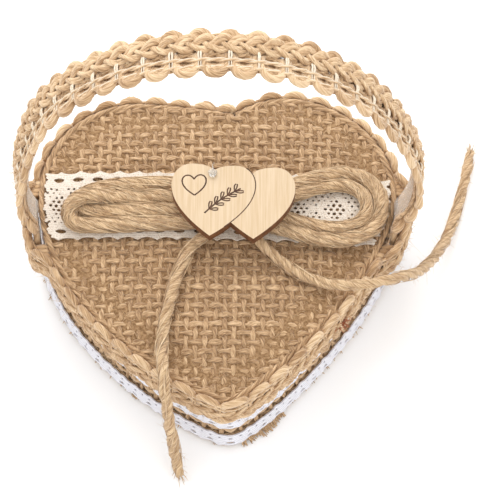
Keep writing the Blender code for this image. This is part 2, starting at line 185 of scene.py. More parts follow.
def heart(steps=60):
    """The heart's outline, from the notch round by the left, the tip and the right, in millimetres."""
    notch = np.array((4.5, 43.4))
    left_top = np.array((-23.6, 46.9))
    left = np.array((-half_width, widest_y))
    tip = np.array((3.3, -48.0))
    right = np.array((half_width, widest_y))
    right_top = np.array((20.2, 48.8))
    rise = right_top[1] - widest_y
    pieces = [
        (notch, (-6.2, 1.4), left_top, (6.0, 0)),
        (left_top, (-0.2 * half_width, 0), left, (0, 0.7 * rise)),
        (left, (0, -36.0), tip, (-7.4, 0)),
        (tip, (7.4, 0), right, (0, -22.3)),
        (right, (0, 0.68 * rise), right_top, (0.2 * half_width, 0)),
        (right_top, (-7.2, 0), notch, (4.0, 2.6)),
    ]
    return np.vstack([bend(a, a + np.array(out), b + np.array(back), b, steps) for a, out, b, back in pieces])


outline = heart()
outline_out = np.roll(outline, -1, 0) - np.roll(outline, 1, 0)
outline_out = np.stack([outline_out[:, 1], -outline_out[:, 0]], 1)
outline_out /= np.linalg.norm(outline_out, axis=1)[:, None]


def crown(x, y):
    """How far the face stands above its edge."""
    return 2.0 * np.maximum(0, 1 - (x / half_width) ** 2 - ((y - 4) / (half_width * 1.04)) ** 2)


def soft_body(name, inset, bottom, lift, rings=(1.0, 0.97, 0.88, 0.72, 0.5, 0.25)):
    """A closed heart-shaped block with a crowned top."""
    bm = bmesh.new()
    edge = (outline - outline_out * inset)[::3]
    centre = np.array((0, 4.0))
    levels = []
    for share in rings:
        ring = centre + (edge - centre) * share
        levels.append([bm.verts.new((x, y, face_edge + lift + crown(x, y))) for x, y in ring])
    for share in rings:
        ring = centre + (edge - centre) * share
        levels.insert(0, [bm.verts.new((x, y, bottom)) for x, y in ring])
    bm.faces.new(levels[0][::-1])
    for lower, upper in zip(levels, levels[1:]):
        for i in range(len(lower)):
            bm.faces.new((lower[i - 1], lower[i], upper[i], upper[i - 1]))
    bm.faces.new(levels[-1])
    bmesh.ops.recalc_face_normals(bm, faces=bm.faces)
    bmesh.ops.triangulate(bm, faces=bm.faces)
    bmesh.ops.scale(bm, vec=(0.001, 0.001, 0.001), verts=bm.verts)
    mesh = bpy.data.meshes.new(name)
    bm.to_mesh(mesh)
    bm.free()
    return placed(name, mesh)


def use(obj, kind, name, **settings):
    """Adds a modifier and applies it."""
    bpy.ops.object.select_all(action="DESELECT")
    bpy.context.view_layer.objects.active = obj
    obj.select_set(True)
    modifier = obj.modifiers.new(name, kind)
    for key, value in settings.items():
        setattr(modifier, key, value)
    bpy.ops.object.modifier_apply(modifier=name)


def puffed(obj, cap):
    """Blows a soft block out by cloth pressure; no point moves further than the cap."""
    use(obj, "REMESH", "even faces", mode="VOXEL", voxel_size=0.004)
    before = np.array([v.co for v in obj.data.vertices])
    cloth = obj.modifiers.new("cloth", "CLOTH")
    cloth.settings.use_pressure = True
    cloth.settings.uniform_pressure_force = 4
    cloth.settings.effector_weights.gravity = 0
    for frame_number in range(1, 21):
        bpy.context.scene.frame_set(frame_number)
    blown = obj.evaluated_get(bpy.context.evaluated_depsgraph_get())
    after = np.array([v.co for v in blown.data.vertices])
    obj.modifiers.remove(cloth)
    bpy.context.scene.frame_set(1)
    move = after - before
    size = np.linalg.norm(move, axis=1)[:, None] + 1e-12
    before += move * np.minimum(1, cap / size)
    for vert, place in zip(obj.data.vertices, before):
        vert.co = place
    use(obj, "SUBSURF", "softer", levels=1, render_levels=1)


pad = soft_body("pad", inset=2.6, bottom=3.4, lift=-2.7)
puffed(pad, cap=0.0012)
pad.data.shade_smooth()
pad.data.materials.clear()
pad.data.materials.append(plain_cloth("white wadding", (0.90, 0.89, 0.86), (0.78, 0.77, 0.74), 900, 0.6))
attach(pad, "pillow")
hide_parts("foam_core", "wadding")


# ---- Burlap face ----
# Loose plain weave of single jute yarns, nine or ten to 25 mm each way, with slubs and hairs.
# It is stretched over the pad and glued down at the edge behind the rim braid.

def run_of(points):
    """How far along the line each of its points lies."""
    return np.concatenate([[0.0], np.cumsum(np.linalg.norm(np.diff(points, axis=0), axis=1))])


def heading(points):
    """The direction of the line at each of its points."""
    run = np.gradient(points, axis=0)
    return run / np.linalg.norm(run, axis=1)[:, None]


def yarn(points, up, wide, high, sides, shade, slot=0, twist=0.0, rough=0.0, seed=0):
    """A yarn round a line of points, in millimetres: half as wide and half as high as given."""
    points = np.asarray(points, float)
    count = len(points)
    along = heading(points)
    across = np.cross(np.broadcast_to(up, points.shape), along)
    across /= np.linalg.norm(across, axis=1)[:, None] + 1e-9
    upward = np.cross(along, across)
    turn = np.linspace(-math.pi / 2, 1.5 * math.pi, sides + 1)
    body = np.ones((count, sides))
    if rough:
        body += np.random.default_rng(seed).normal(0, rough, (count, sides))
    cos = np.cos(turn[:-1])[None] * np.broadcast_to(wide, count)[:, None] * body
    sin = np.sin(turn[:-1])[None] * np.broadcast_to(high, count)[:, None] * body
    rings = points[:, None] + across[:, None] * cos[..., None] + upward[:, None] * sin[..., None]
    tips = np.stack([points[0] - along[0] * 0.05, points[-1] + along[-1] * 0.05])
    run = run_of(points)
    i = np.arange(count - 1)[:, None]
    j = np.arange(sides)[None]
    after = (j + 1) % sides
    quads = np.stack([i * sides + j, i * sides + after, (i + 1) * sides + after, (i + 1) * sides + j], -1)
    girth = math.pi * (np.mean(wide) + np.mean(high))
    around = girth * turn / (2 * math.pi)
    corner = [(0, 0), (0, 1), (1, 1), (1, 0)]
    quad_uv = np.stack([np.stack([
        np.broadcast_to(run[i + di], (count - 1, sides)),
        around[j + dj] + twist * run[i + di]], -1) for di, dj in corner], 2)
    first = count * sides
    j = j.ravel()
    after = after.ravel()
    last = (count - 1) * sides
    tris = np.vstack([np.stack([np.full(sides, first), after, j], 1),
                      np.stack([np.full(sides, first + 1), last + j, last + after], 1)])
    tri_uv = np.zeros((2 * sides, 3, 2))
    tri_uv[:, :, 1] = around[0]
    tri_uv[sides:, :, 0] = run[-1]
    return {"points": np.vstack([rings.reshape(-1, 3), tips]), "quads": quads.reshape(-1, 4), "tris": tris,
            "quad_uv": quad_uv.reshape(-1, 4, 2), "tri_uv": tri_uv, "shade": shade, "slot": slot}


def made_of(name, yarns, materials):
    """One object made of many yarns; each keeps its own shade and runs along its own UV."""
    starts = np.cumsum([0] + [len(y["points"]) for y in yarns])
    points = np.vstack([y["points"] for y in yarns]) * 0.001
    quads = np.vstack([y["quads"] + s for y, s in zip(yarns, starts)])
    tris = np.vstack([y["tris"] + s for y, s in zip(yarns, starts)])
    uv = np.vstack([*[y["quad_uv"].reshape(-1, 2) for y in yarns],
                    *[y["tri_uv"].reshape(-1, 2) for y in yarns]])
    slots = np.concatenate([*[np.full(len(y["quads"]), y["slot"]) for y in yarns],
                            *[np.full(len(y["tris"]), y["slot"]) for y in yarns]])
    mesh = bpy.data.meshes.new(name)
    mesh.vertices.add(len(points))
    mesh.vertices.foreach_set("co", points.astype(np.float32).ravel())
    corners = np.concatenate([quads.ravel(), tris.ravel()])
    mesh.loops.add(len(corners))
    mesh.loops.foreach_set("vertex_index", corners.astype(np.int32))
    mesh.polygons.add(len(quads) + len(tris))
    begin = np.concatenate([np.arange(len(quads)) * 4, len(quads) * 4 + np.arange(len(tris)) * 3])
    mesh.polygons.foreach_set("loop_start", begin.astype(np.int32))
    mesh.polygons.foreach_set("use_smooth", np.ones(len(begin), bool))
    mesh.polygons.foreach_set("material_index", slots.astype(np.int32))
    mesh.update(calc_edges=True)
    layer = mesh.uv_layers.new(name="along_yarn")
    layer.data.foreach_set("uv", uv.astype(np.float32).ravel())
    shade = mesh.attributes.new("shade", "FLOAT", "POINT")
    shades = np.concatenate([np.full(len(y["points"]), y["shade"]) for y in yarns])
    shade.data.foreach_set("value", shades.astype(np.float32))
    for material in materials:
        mesh.materials.append(material)
    return placed(name, mesh)


def worked(nodes, links, operation, source, factor):
    """A Math node that works on a source with a number."""
    node = nodes.new("ShaderNodeMath")
    node.operation = operation
    node.inputs[1].default_value = factor
    links.new(source, node.inputs[0])
    return node


def jute(name, dark, middle, light, bump):
    """Jute fibre: fine streaks along the yarn, each yarn a little lighter or darker than the next."""
    material, nodes, links, shader = new_material(name, {
        "Roughness": 0.82, "Specular IOR Level": 0.25, "Sheen Weight": 0.25, "Sheen Roughness": 0.5})
    uv = nodes.new("ShaderNodeUVMap")
    uv.uv_map = "along_yarn"
    shade = nodes.new("ShaderNodeAttribute")
    shade.attribute_name = "shade"
    split = nodes.new("ShaderNodeSeparateXYZ")
    links.new(uv.outputs["UV"], split.inputs[0])
    place = nodes.new("ShaderNodeCombineXYZ")
    for socket, source, factor in (("X", split.outputs["X"], 0.30), ("Y", split.outputs["Y"], 3.2),
                                   ("Z", shade.outputs["Fac"], 41.0)):
        links.new(worked(nodes, links, "MULTIPLY", source, factor).outputs[0], place.inputs[socket])
    fibres = add_node(nodes, "TexNoise", {"Scale": 1.0, "Detail": 4.0, "Roughness": 0.62})
    links.new(place.outputs[0], fibres.inputs["Vector"])
    offset = nodes.new("ShaderNodeVectorMath")
    offset.operation = "ADD"
    links.new(uv.outputs["UV"], offset.inputs[0])
    links.new(place.outputs[0], offset.inputs[1])
    patches = add_node(nodes, "TexNoise", {"Scale": 0.22, "Detail": 2.0})
    links.new(offset.outputs[0], patches.inputs["Vector"])
    patch_part = worked(nodes, links, "MULTIPLY_ADD", patches.outputs["Fac"], 0.30)
    patch_part.inputs[2].default_value = -0.35
    yarn_part = worked(nodes, links, "MULTIPLY_ADD", shade.outputs["Fac"], 0.22)
    links.new(patch_part.outputs[0], yarn_part.inputs[2])
    tone = worked(nodes, links, "MULTIPLY_ADD", fibres.outputs["Fac"], 1.2)
    links.new(yarn_part.outputs[0], tone.inputs[2])
    colour_by(nodes, links, shader, tone.outputs[0], ((0.30, dark), (0.50, middle), (0.72, light)))
    relief_by(nodes, links, shader, fibres.outputs["Fac"], bump, 0.0003)
    return material


def stray_fibres(rng, starts, outs, count, reach, radius=0.05):
    """Fine hairs that stand off the jute: a few faces each."""
    found = []
    for _ in range(count):
        k = int(rng.integers(len(starts)))
        away = outs[k] + rng.normal(0, 0.75, 3)
        away /= np.linalg.norm(away) + 1e-9
        length = reach * rng.uniform(0.35, 1.0)
        bend = rng.normal(0, 0.35, 3) * length
        t = np.linspace(0, 1, 6)[:, None]
        line = starts[k] + away * length * t + bend * t * t
        line[:, 2] = np.maximum(line[:, 2], 0.15)
        found.append(yarn(line, rng.normal(0, 1, 3), radius * (1.15 - 0.9 * t[:, 0]),
                          radius * (1.15 - 0.9 * t[:, 0]), 3, 0.55 + 0.45 * rng.random()))
    return found


weave_across = 2.64
weave_along = 2.80
weave_sink = 0.84
burlap_jute = jute("burlap jute", (0.24, 0.135, 0.065), (0.46, 0.29, 0.155), (0.70, 0.49, 0.29), bump=0.5)
pad_tree = BVHTree.FromObject(pad, bpy.context.evaluated_depsgraph_get())
height_step = 2.0
height_axis = np.arange(-54, 54.1, height_step)
height_map = np.zeros((len(height_axis), len(height_axis)))
for row, y in enumerate(height_axis):
    for column, x in enumerate(height_axis):
        hit = pad_tree.ray_cast(Vector((x, y, 60)) * 0.001, Vector((0, 0, -1)))[0]
        flat_top = face_edge + float(crown(x, y))
        found = hit.z * 1000 + 1.9 if hit else flat_top
        height_map[row, column] = min(flat_top, max(flat_top - 0.5, found))


def face_top(x, y):
    """Height of the cloth over the pad, in millimetres."""
    x = np.asarray(x, float)
    y = np.asarray(y, float)
    column = np.clip((x - height_axis[0]) / height_step, 0, len(height_axis) - 1.001)
    row = np.clip((y - height_axis[0]) / height_step, 0, len(height_axis) - 1.001)
    c = column.astype(int)
    r = row.astype(int)
    fx = column - c
    fy = row - r
    return ((height_map[r, c] * (1 - fx) + height_map[r, c + 1] * fx) * (1 - fy)
            + (height_map[r + 1, c] * (1 - fx) + height_map[r + 1, c + 1] * fx) * fy)


def inside_heart(x, y, inset):
    """True for the points that lie within the outline, drawn in by an inset."""
    edge = outline - outline_out * inset
    following = np.roll(edge, -1, 0)
    inside = np.zeros(np.shape(x), bool)
    for (x0, y0), (x1, y1) in zip(edge, following):
        crosses = (y0 > y) != (y1 > y)
        inside ^= crosses & (x < (x1 - x0) * (y - y0) / (y1 - y0 + 1e-12) + x0)
    return inside


def woven(rng, runs, other_pitch, parity, lay_out, width, height, wave, sides, step=0.5, strands=2):
    """Yarns of one direction of a plain weave. Each run is (place across, first, last) on the flat cloth;
    lay_out puts a flat place and a lift on the real surface and gives its up direction."""
    found = []
    for place, first, last in runs:
        number = int(round(place[1]))
        count = max(4, int((last - first) / step) + 1)
        s = np.linspace(first, last, count)
        swing = rng.uniform(0, 6.28, 4)
        sway = 0.13 * np.sin(s / 7.0 + swing[0]) + 0.09 * np.sin(s / 2.9 + swing[1])
        slub = 1 + 0.10 * np.sin(s / 11.0 + swing[2]) + 0.07 * np.sin(s / 3.7 + swing[3])
        slub = slub + rng.normal(0, 0.05)
        phase = math.pi * (s / other_pitch + number + parity)
        lift = np.cos(phase)
        lift = np.sign(lift) * np.abs(lift) ** 0.75
        fullness = 1 + 0.07 * lift
        swirl = 2 * math.pi * s / 8.5 + swing[0]
        tone = rng.random()
        for half in range(strands):
            angle = swirl + math.pi * half
            aside = 0.42 * width * np.cos(angle) if strands > 1 else 0.0
            raised = 0.22 * height * np.sin(angle) if strands > 1 else 0.0
            points, up = lay_out(place[0] + sway + aside, s, wave * lift + raised)
            slim = 0.68 if strands > 1 else 1.0
            found.append(yarn(points, up, width * slub * fullness * slim, height * slub * 0.86, sides,
                              0.75 * tone + 0.25 * rng.random(), twist=0.35, rough=0.05,
                              seed=int(rng.integers(1 << 30))))
    return found


def heart_runs(pitch, vertical):
    """Where each yarn of the face starts and stops inside the outline."""
    found = []
    reach = 54.0
    s = np.arange(-reach, reach, 0.2)
    for number in range(-int(reach / pitch), int(reach / pitch) + 1):
        place = number * pitch
        fixed = np.full_like(s, place)
        x, y = (fixed, s) if vertical else (s, fixed)
        inside = inside_heart(x, y, 0.15)
        marks = np.flatnonzero(np.diff(np.concatenate([[0], inside.astype(int), [0]])))
        for a, b in zip(marks[::2], marks[1::2]):
            if b - a > 15:
                found.append(((place, number), s[a], s[b - 1]))
    return found


face_rng = np.random.default_rng(5)
skew = 0.012


def warp_place(across, s, lift):
    """A yarn that runs away from the tip."""
    x = across + skew * s
    z = face_top(x, s) - weave_sink + lift
    return np.stack([x, s, z], 1), np.array((0, 0, 1.0))


def weft_place(across, s, lift):
    """A yarn that runs from side to side."""
    y = across - skew * s + 0.25 * np.sin(s / 17.0 + 1.0)
    z = face_top(s, y) - weave_sink + lift
    return np.stack([s, y, z], 1), np.array((0, 0, 1.0))


warp = woven(face_rng, heart_runs(weave_across, True), weave_along, 0, warp_place, 0.72, 0.44, 0.30, 6)
weft = woven(face_rng, heart_runs(weave_along, False), weave_across, 1, weft_place, 0.80, 0.44, 0.32, 6)
hair_x = face_rng.uniform(-50, 50, 3000)
hair_y = face_rng.uniform(-48, 48, 3000)
kept = inside_heart(hair_x, hair_y, 2.0)
hair_start = np.stack([hair_x, hair_y, face_top(hair_x, hair_y) - 0.25], 1)[kept]
flat_out = face_rng.normal(0, 1, hair_start.shape) * (1, 1, 0.05)
hairs = stray_fibres(face_rng, hair_start, flat_out * 3 + (0, 0, 0.45), 240, 7.0, radius=0.045)
hairs += stray_fibres(face_rng, hair_start, flat_out * 6 + (0, 0, 0.22), 1700, 3.2, radius=0.06)
face_hairs = made_of("burlap_face_hairs", hairs, [burlap_jute])
face_warp = made_of("burlap_face_warp", warp, [burlap_jute])
face_weft = made_of("burlap_face_weft", weft, [burlap_jute])
# Under the yarns lies a dark sheet of painted shade: it stands for the shadow between them.
face_shade_sheet = soft_body("burlap_face_ground", inset=0.5, bottom=25.3, lift=-0.80)
face_shade_sheet.data.materials.append(
    plain_cloth("burlap shadow", (0.40, 0.25, 0.13), (0.20, 0.11, 0.05), 1500, 0.9))
for piece in (face_warp, face_weft, face_hairs, face_shade_sheet):
    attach(piece, "pillow")
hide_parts("top_cover")


# ---- Burlap wall ----
# The same burlap goes round the wall as one band, folded in under the face at the top.
# Its cut lower edge is left raw and frays, most of all to the right of the tip.

closed_outline = np.vstack([outline, outline[:1]])
closed_out = np.vstack([outline_out, outline_out[:1]])
loop_run = run_of(closed_outline)
loop_length = loop_run[-1]


def wall_place(s, offset, z):
    """A point on the wall: s goes round from the notch, offset stands out from the outline."""
    s = np.mod(np.asarray(s, float), loop_length)
    x, y = (np.interp(s, loop_run, closed_outline[:, k]) for k in range(2))
    out = np.stack([np.interp(s, loop_run, closed_out[:, k]) for k in range(2)], 1)
    out /= np.linalg.norm(out, axis=1)[:, None]
    offset = np.broadcast_to(offset, s.shape)
    points = np.stack([x + out[:, 0] * offset, y + out[:, 1] * offset, np.broadcast_to(z, s.shape)], 1)
    return points, np.column_stack([out, np.zeros(len(out))])


def flare(z):
    """The wall's lower edge is soft, and stands out a little."""
    return 1.8 * np.clip(1 - np.asarray(z, float) / 10.5, 0, 1) ** 1.2


wall_sink = 0.55
wall_height = 25.2


def wall_round(across, s, lift):
    """A yarn that goes round the wall."""
    return wall_place(s, lift - wall_sink + flare(across), across)


def wall_upright(across, s, lift):
    """A yarn that stands upright in the wall."""
    return wall_place(across, lift - wall_sink + flare(s), s)


wall_rng = np.random.default_rng(9)
uprights = int(loop_length / weave_across / 2) * 2
upright_pitch = loop_length / uprights
round_runs = [((1.5 + weave_along * k, k), 0.0, loop_length) for k in range(9)]
upright_runs = [((upright_pitch * k, k), 0.0, wall_height) for k in range(uprights)]
wall_yarns = woven(wall_rng, round_runs, upright_pitch, 1, wall_round, 0.80, 0.36, 0.26, 5, step=0.7)
wall_warp = []
for run in upright_runs:
    wall_warp += woven(wall_rng, [run], weave_along, 0, wall_upright, 0.72, 0.36, 0.26, 5, step=0.7)
hem = []
tip_run = loop_run[180]
loose_tufts = 260
tip_tufts = 70
for k in range(loose_tufts + tip_tufts):
    clump = k >= loose_tufts
    s = tip_run + wall_rng.uniform(3, 17) if clump else wall_rng.uniform(0, loop_length)
    start, out = wall_place([s], wall_rng.uniform(0.9, 1.4), wall_rng.uniform(1.4, 2.4))
    aim = out[0] * wall_rng.uniform(0.4, 1.4) + wall_rng.normal(0, 0.35, 3) * (1, 1, 0)
    stub = wall_rng.uniform(1.2, 2.2) if clump else wall_rng.uniform(0.5, 1.0)
    for _ in range(4):
        t = np.linspace(0, 1, 5)[:, None]
        floor = wall_rng.uniform(0.32, 0.9)
        end = aim * stub + wall_rng.normal(0, 0.32, 3) * (1, 1, 0)
        line = start[0] + wall_rng.normal(0, 0.22, 3) + end * t ** 1.5
        line[:, 2] = start[0][2] + (floor - start[0][2]) * t[:, 0]
        thick = 0.30 if clump else 0.24
        hem.append(yarn(line, out[0], thick - 0.15 * t[:, 0], thick * 0.8 - 0.10 * t[:, 0], 4,
                        0.4 + 0.6 * wall_rng.random()))
seam_s = np.arange(0, loop_length, 0.6)
for k in range(3):
    roll = seam_s * 0.55 + k * 2.1
    line, out = wall_place(seam_s, -0.25 + 0.45 * np.cos(roll), 26.5 + 0.45 * np.sin(roll))
    wall_yarns.append(yarn(line, out, 0.55 + 0.1 * np.sin(seam_s + k), 0.5, 7, 0.3 + 0.2 * k, twist=0.4,
                           rough=0.06))
wall_weave = made_of("burlap_wall_weave", wall_yarns + wall_warp, [burlap_jute])
fringe = made_of("burlap_fringe", hem, [burlap_jute])
# Behind the wall yarns lies a plain band of painted shade for the gaps of the weave. It is painted lighter
# than the sheet under the face, so that the wall reads as lit.
bm = bmesh.new()
round_wall = np.arange(0, loop_length - 0.5, 1.5)
levels = []
for offset, z in ((0.98, 0.12), (1.28, 0.12), (-0.35, 5.0), (-0.86, 11.0), (-0.86, 25.3), (-1.18, 25.3),
                  (-1.18, 11.0), (-0.65, 5.0)):
    levels.append([bm.verts.new(p * 0.001) for p in wall_place(round_wall, offset, z)[0]])
for inner, outer in zip(levels, levels[1:] + levels[:1]):
    for i in range(len(inner)):
        bm.faces.new((inner[i - 1], inner[i], outer[i], outer[i - 1]))
bmesh.ops.recalc_face_normals(bm, faces=bm.faces)
wall_mesh = bpy.data.meshes.new("burlap_wall")
bm.to_mesh(wall_mesh)
bm.free()
wall_shade_band = placed("burlap_wall", wall_mesh)
wall_mesh.materials.append(plain_cloth("wall shadow", (0.64, 0.44, 0.26), (0.46, 0.30, 0.17), 1500, 0.9))
for piece in (wall_shade_band, wall_weave, fringe):
    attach(piece, "pillow")
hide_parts("side_cover")


# ---- White lace round the wall ----
# Two narrow cotton laces, glued round the wall: one under the rim braid, one near the hem.
# Both have fine ribs along them, a row of eyelets and a scalloped edge.

def cut_sheet(name, solid, first, last, low, high, cell, lay_out, thickness, material):
    """A flat pattern, kept where solid(u, v) is above 0, laid on a surface and given its thickness."""
    columns = int(round((last - first) / cell))
    rows = int(round((high - low) / cell))
    u = np.linspace(first, last, columns + 1)
    v = np.linspace(low, high, rows + 1)
    value = solid(*np.meshgrid(u, v, indexing="ij"))
    value[np.abs(value) < 1e-4] = 1e-4
    ids = {}
    flat = []

    def vertex(key, place):
        if key not in ids:
            ids[key] = len(flat)
            flat.append(place)
        return ids[key]

    faces = []
    for i in range(columns):
        for j in range(rows):
            ring = ((i, j), (i + 1, j), (i + 1, j + 1), (i, j + 1))
            values = [value[a, b] for a, b in ring]
            if max(values) < 0:
                continue
            face = []
            for k in range(4):
                (a, b), (c, d) = ring[k], ring[(k + 1) % 4]
                here, there = values[k], values[(k + 1) % 4]
                if here > 0:
                    face.append(vertex((a, b), (u[a], v[b])))
                if (here > 0) != (there > 0):
                    share = here / (here - there)
                    key = (min((a, b), (c, d)), max((a, b), (c, d)))
                    face.append(vertex(key, (u[a] + (u[c] - u[a]) * share, v[b] + (v[d] - v[b]) * share)))
            if len(face) > 2:
                faces.append(face)
    flat = np.array(flat)
    points, up = lay_out(flat[:, 0], flat[:, 1])
    mesh = bpy.data.meshes.new(name)
    mesh.from_pydata((points * 0.001).tolist(), [], faces)
    layer = mesh.uv_layers.new(name="along_yarn")
    corner = np.empty(len(mesh.loops), np.int32)
    mesh.loops.foreach_get("vertex_index", corner)
    layer.data.foreach_set("uv", flat[corner].astype(np.float32).ravel())
    mesh.update()
    facing = np.empty(len(mesh.polygons) * 3)
    mesh.polygons.foreach_get("normal", facing)
    mean_up = np.broadcast_to(up, points.shape)[[p.vertices[0] for p in mesh.polygons]]
    if float((facing.reshape(-1, 3) * mean_up).sum()) < 0:
        mesh.flip_normals()
    mesh.materials.append(material)
    obj = placed(name, mesh)
    use(obj, "SOLIDIFY", "thickness", thickness=thickness * 0.001, offset=1.0)
    return obj


def lace_cotton(name, colour, shadow, rib, ribbed=0.5):
    """Cotton thread: fine ribs and crossing threads, pale on the raised thread, with painted shade in the
    dips between.
    """
    material, nodes, links, shader = new_material(name, {
        "Roughness": 0.85, "Specular IOR Level": 0.2, "Sheen Weight": 0.3})
    uv = nodes.new("ShaderNodeUVMap")
    uv.uv_map = "along_yarn"
    ribs = add_node(nodes, "TexWave", {"Scale": rib, "Distortion": 1.6, "Detail": 2.0, "Detail Scale": 1.5})
    ribs.bands_direction = "Y"
    links.new(uv.outputs["UV"], ribs.inputs["Vector"])
    threads = add_node(nodes, "TexNoise", {"Scale": 2.4, "Detail": 5.0, "Roughness": 0.7})
    links.new(uv.outputs["UV"], threads.inputs["Vector"])
    both = worked(nodes, links, "MULTIPLY_ADD", ribs.outputs["Fac"], ribbed)
    links.new(threads.outputs["Fac"], both.inputs[2])
    colour_by(nodes, links, shader, both.outputs[0], ((0.40, shadow), (0.40 + 0.5 * ribbed + 0.12, colour)))
    relief_by(nodes, links, shader, both.outputs[0], 0.8, 0.0003)
    return material


white_cotton = lace_cotton("white cotton", (0.84, 0.83, 0.88), (0.58, 0.57, 0.62), 0.34)


def hole(u, v, wide, high):
    """Above 0 outside an oval hole."""
    return (np.sqrt((u / wide) ** 2 + (v / high) ** 2) - 1) * min(wide, high)


def centred(u, pitch):
    """How far each place is from the nearest middle of a repeat."""
    return np.mod(u + pitch / 2, pitch) - pitch / 2


def narrow_lace(node, scallop, offset):
    """One lace round the wall, with a scallop and an eyelet in each repeat."""
    low, high = (corner.z * 1000 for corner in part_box(node))
    wide = high - low
    pitch = loop_length / round(loop_length / scallop)

    def solid(u, v):
        lower = v - 0.15 - 0.75 * np.abs(np.sin(math.pi * u / pitch))
        if node == "side_lace_upper":
            lower = lower - 2.2 * np.clip((np.abs(u - tip_run - 2) - 16) / 26, 0, 1)
        upper = wide - 0.1 - 0.45 * np.abs(np.cos(math.pi * u / pitch)) - v
        eyelet = hole(centred(u + pitch / 2, pitch), v - 0.33 * wide, 0.95, 0.5)
        pin = hole(centred(u, pitch / 2), v - 0.70 * wide, 0.42, 0.42)
        return np.minimum.reduce([lower, upper, eyelet, pin])

    def lay_out(u, v):
        ripple = 0.07 * np.sin(u * 1.9) + 0.05 * np.sin(u * 0.7 + v)
        z = low + v
        if node == "side_lace_lower":
            z = 1.0 + 0.88 * v
        return wall_place(u, offset + ripple + flare(z), z)

    lace = cut_sheet("white_" + node, solid, 0.0, loop_length, 0.0, wide, 0.4, lay_out, 0.4, white_cotton)
    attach(lace, "pillow")
    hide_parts(node)


narrow_lace("side_lace_lower", 5.0, 0.40)
narrow_lace("side_lace_upper", 5.0, 0.40)


# ---- Rim braid ----
# A jute braid 14 mm wide: one strand makes a scallop at each edge, thin chains and bars bind it, and a
# plait of long stitches stands up along one side. It is glued round the wall, a little above the face,
# and laps behind the notch. On the right flank a few reddish fibres have frayed out of it.

braid_jute = jute("braid jute", (0.32, 0.18, 0.085), (0.58, 0.38, 0.21), (0.80, 0.60, 0.38), bump=0.8)
binder = plain_cloth("white thread", (0.86, 0.77, 0.64), (0.70, 0.58, 0.43), 2500, 0.5, roughness=0.8)
braid_pitch = 7.1


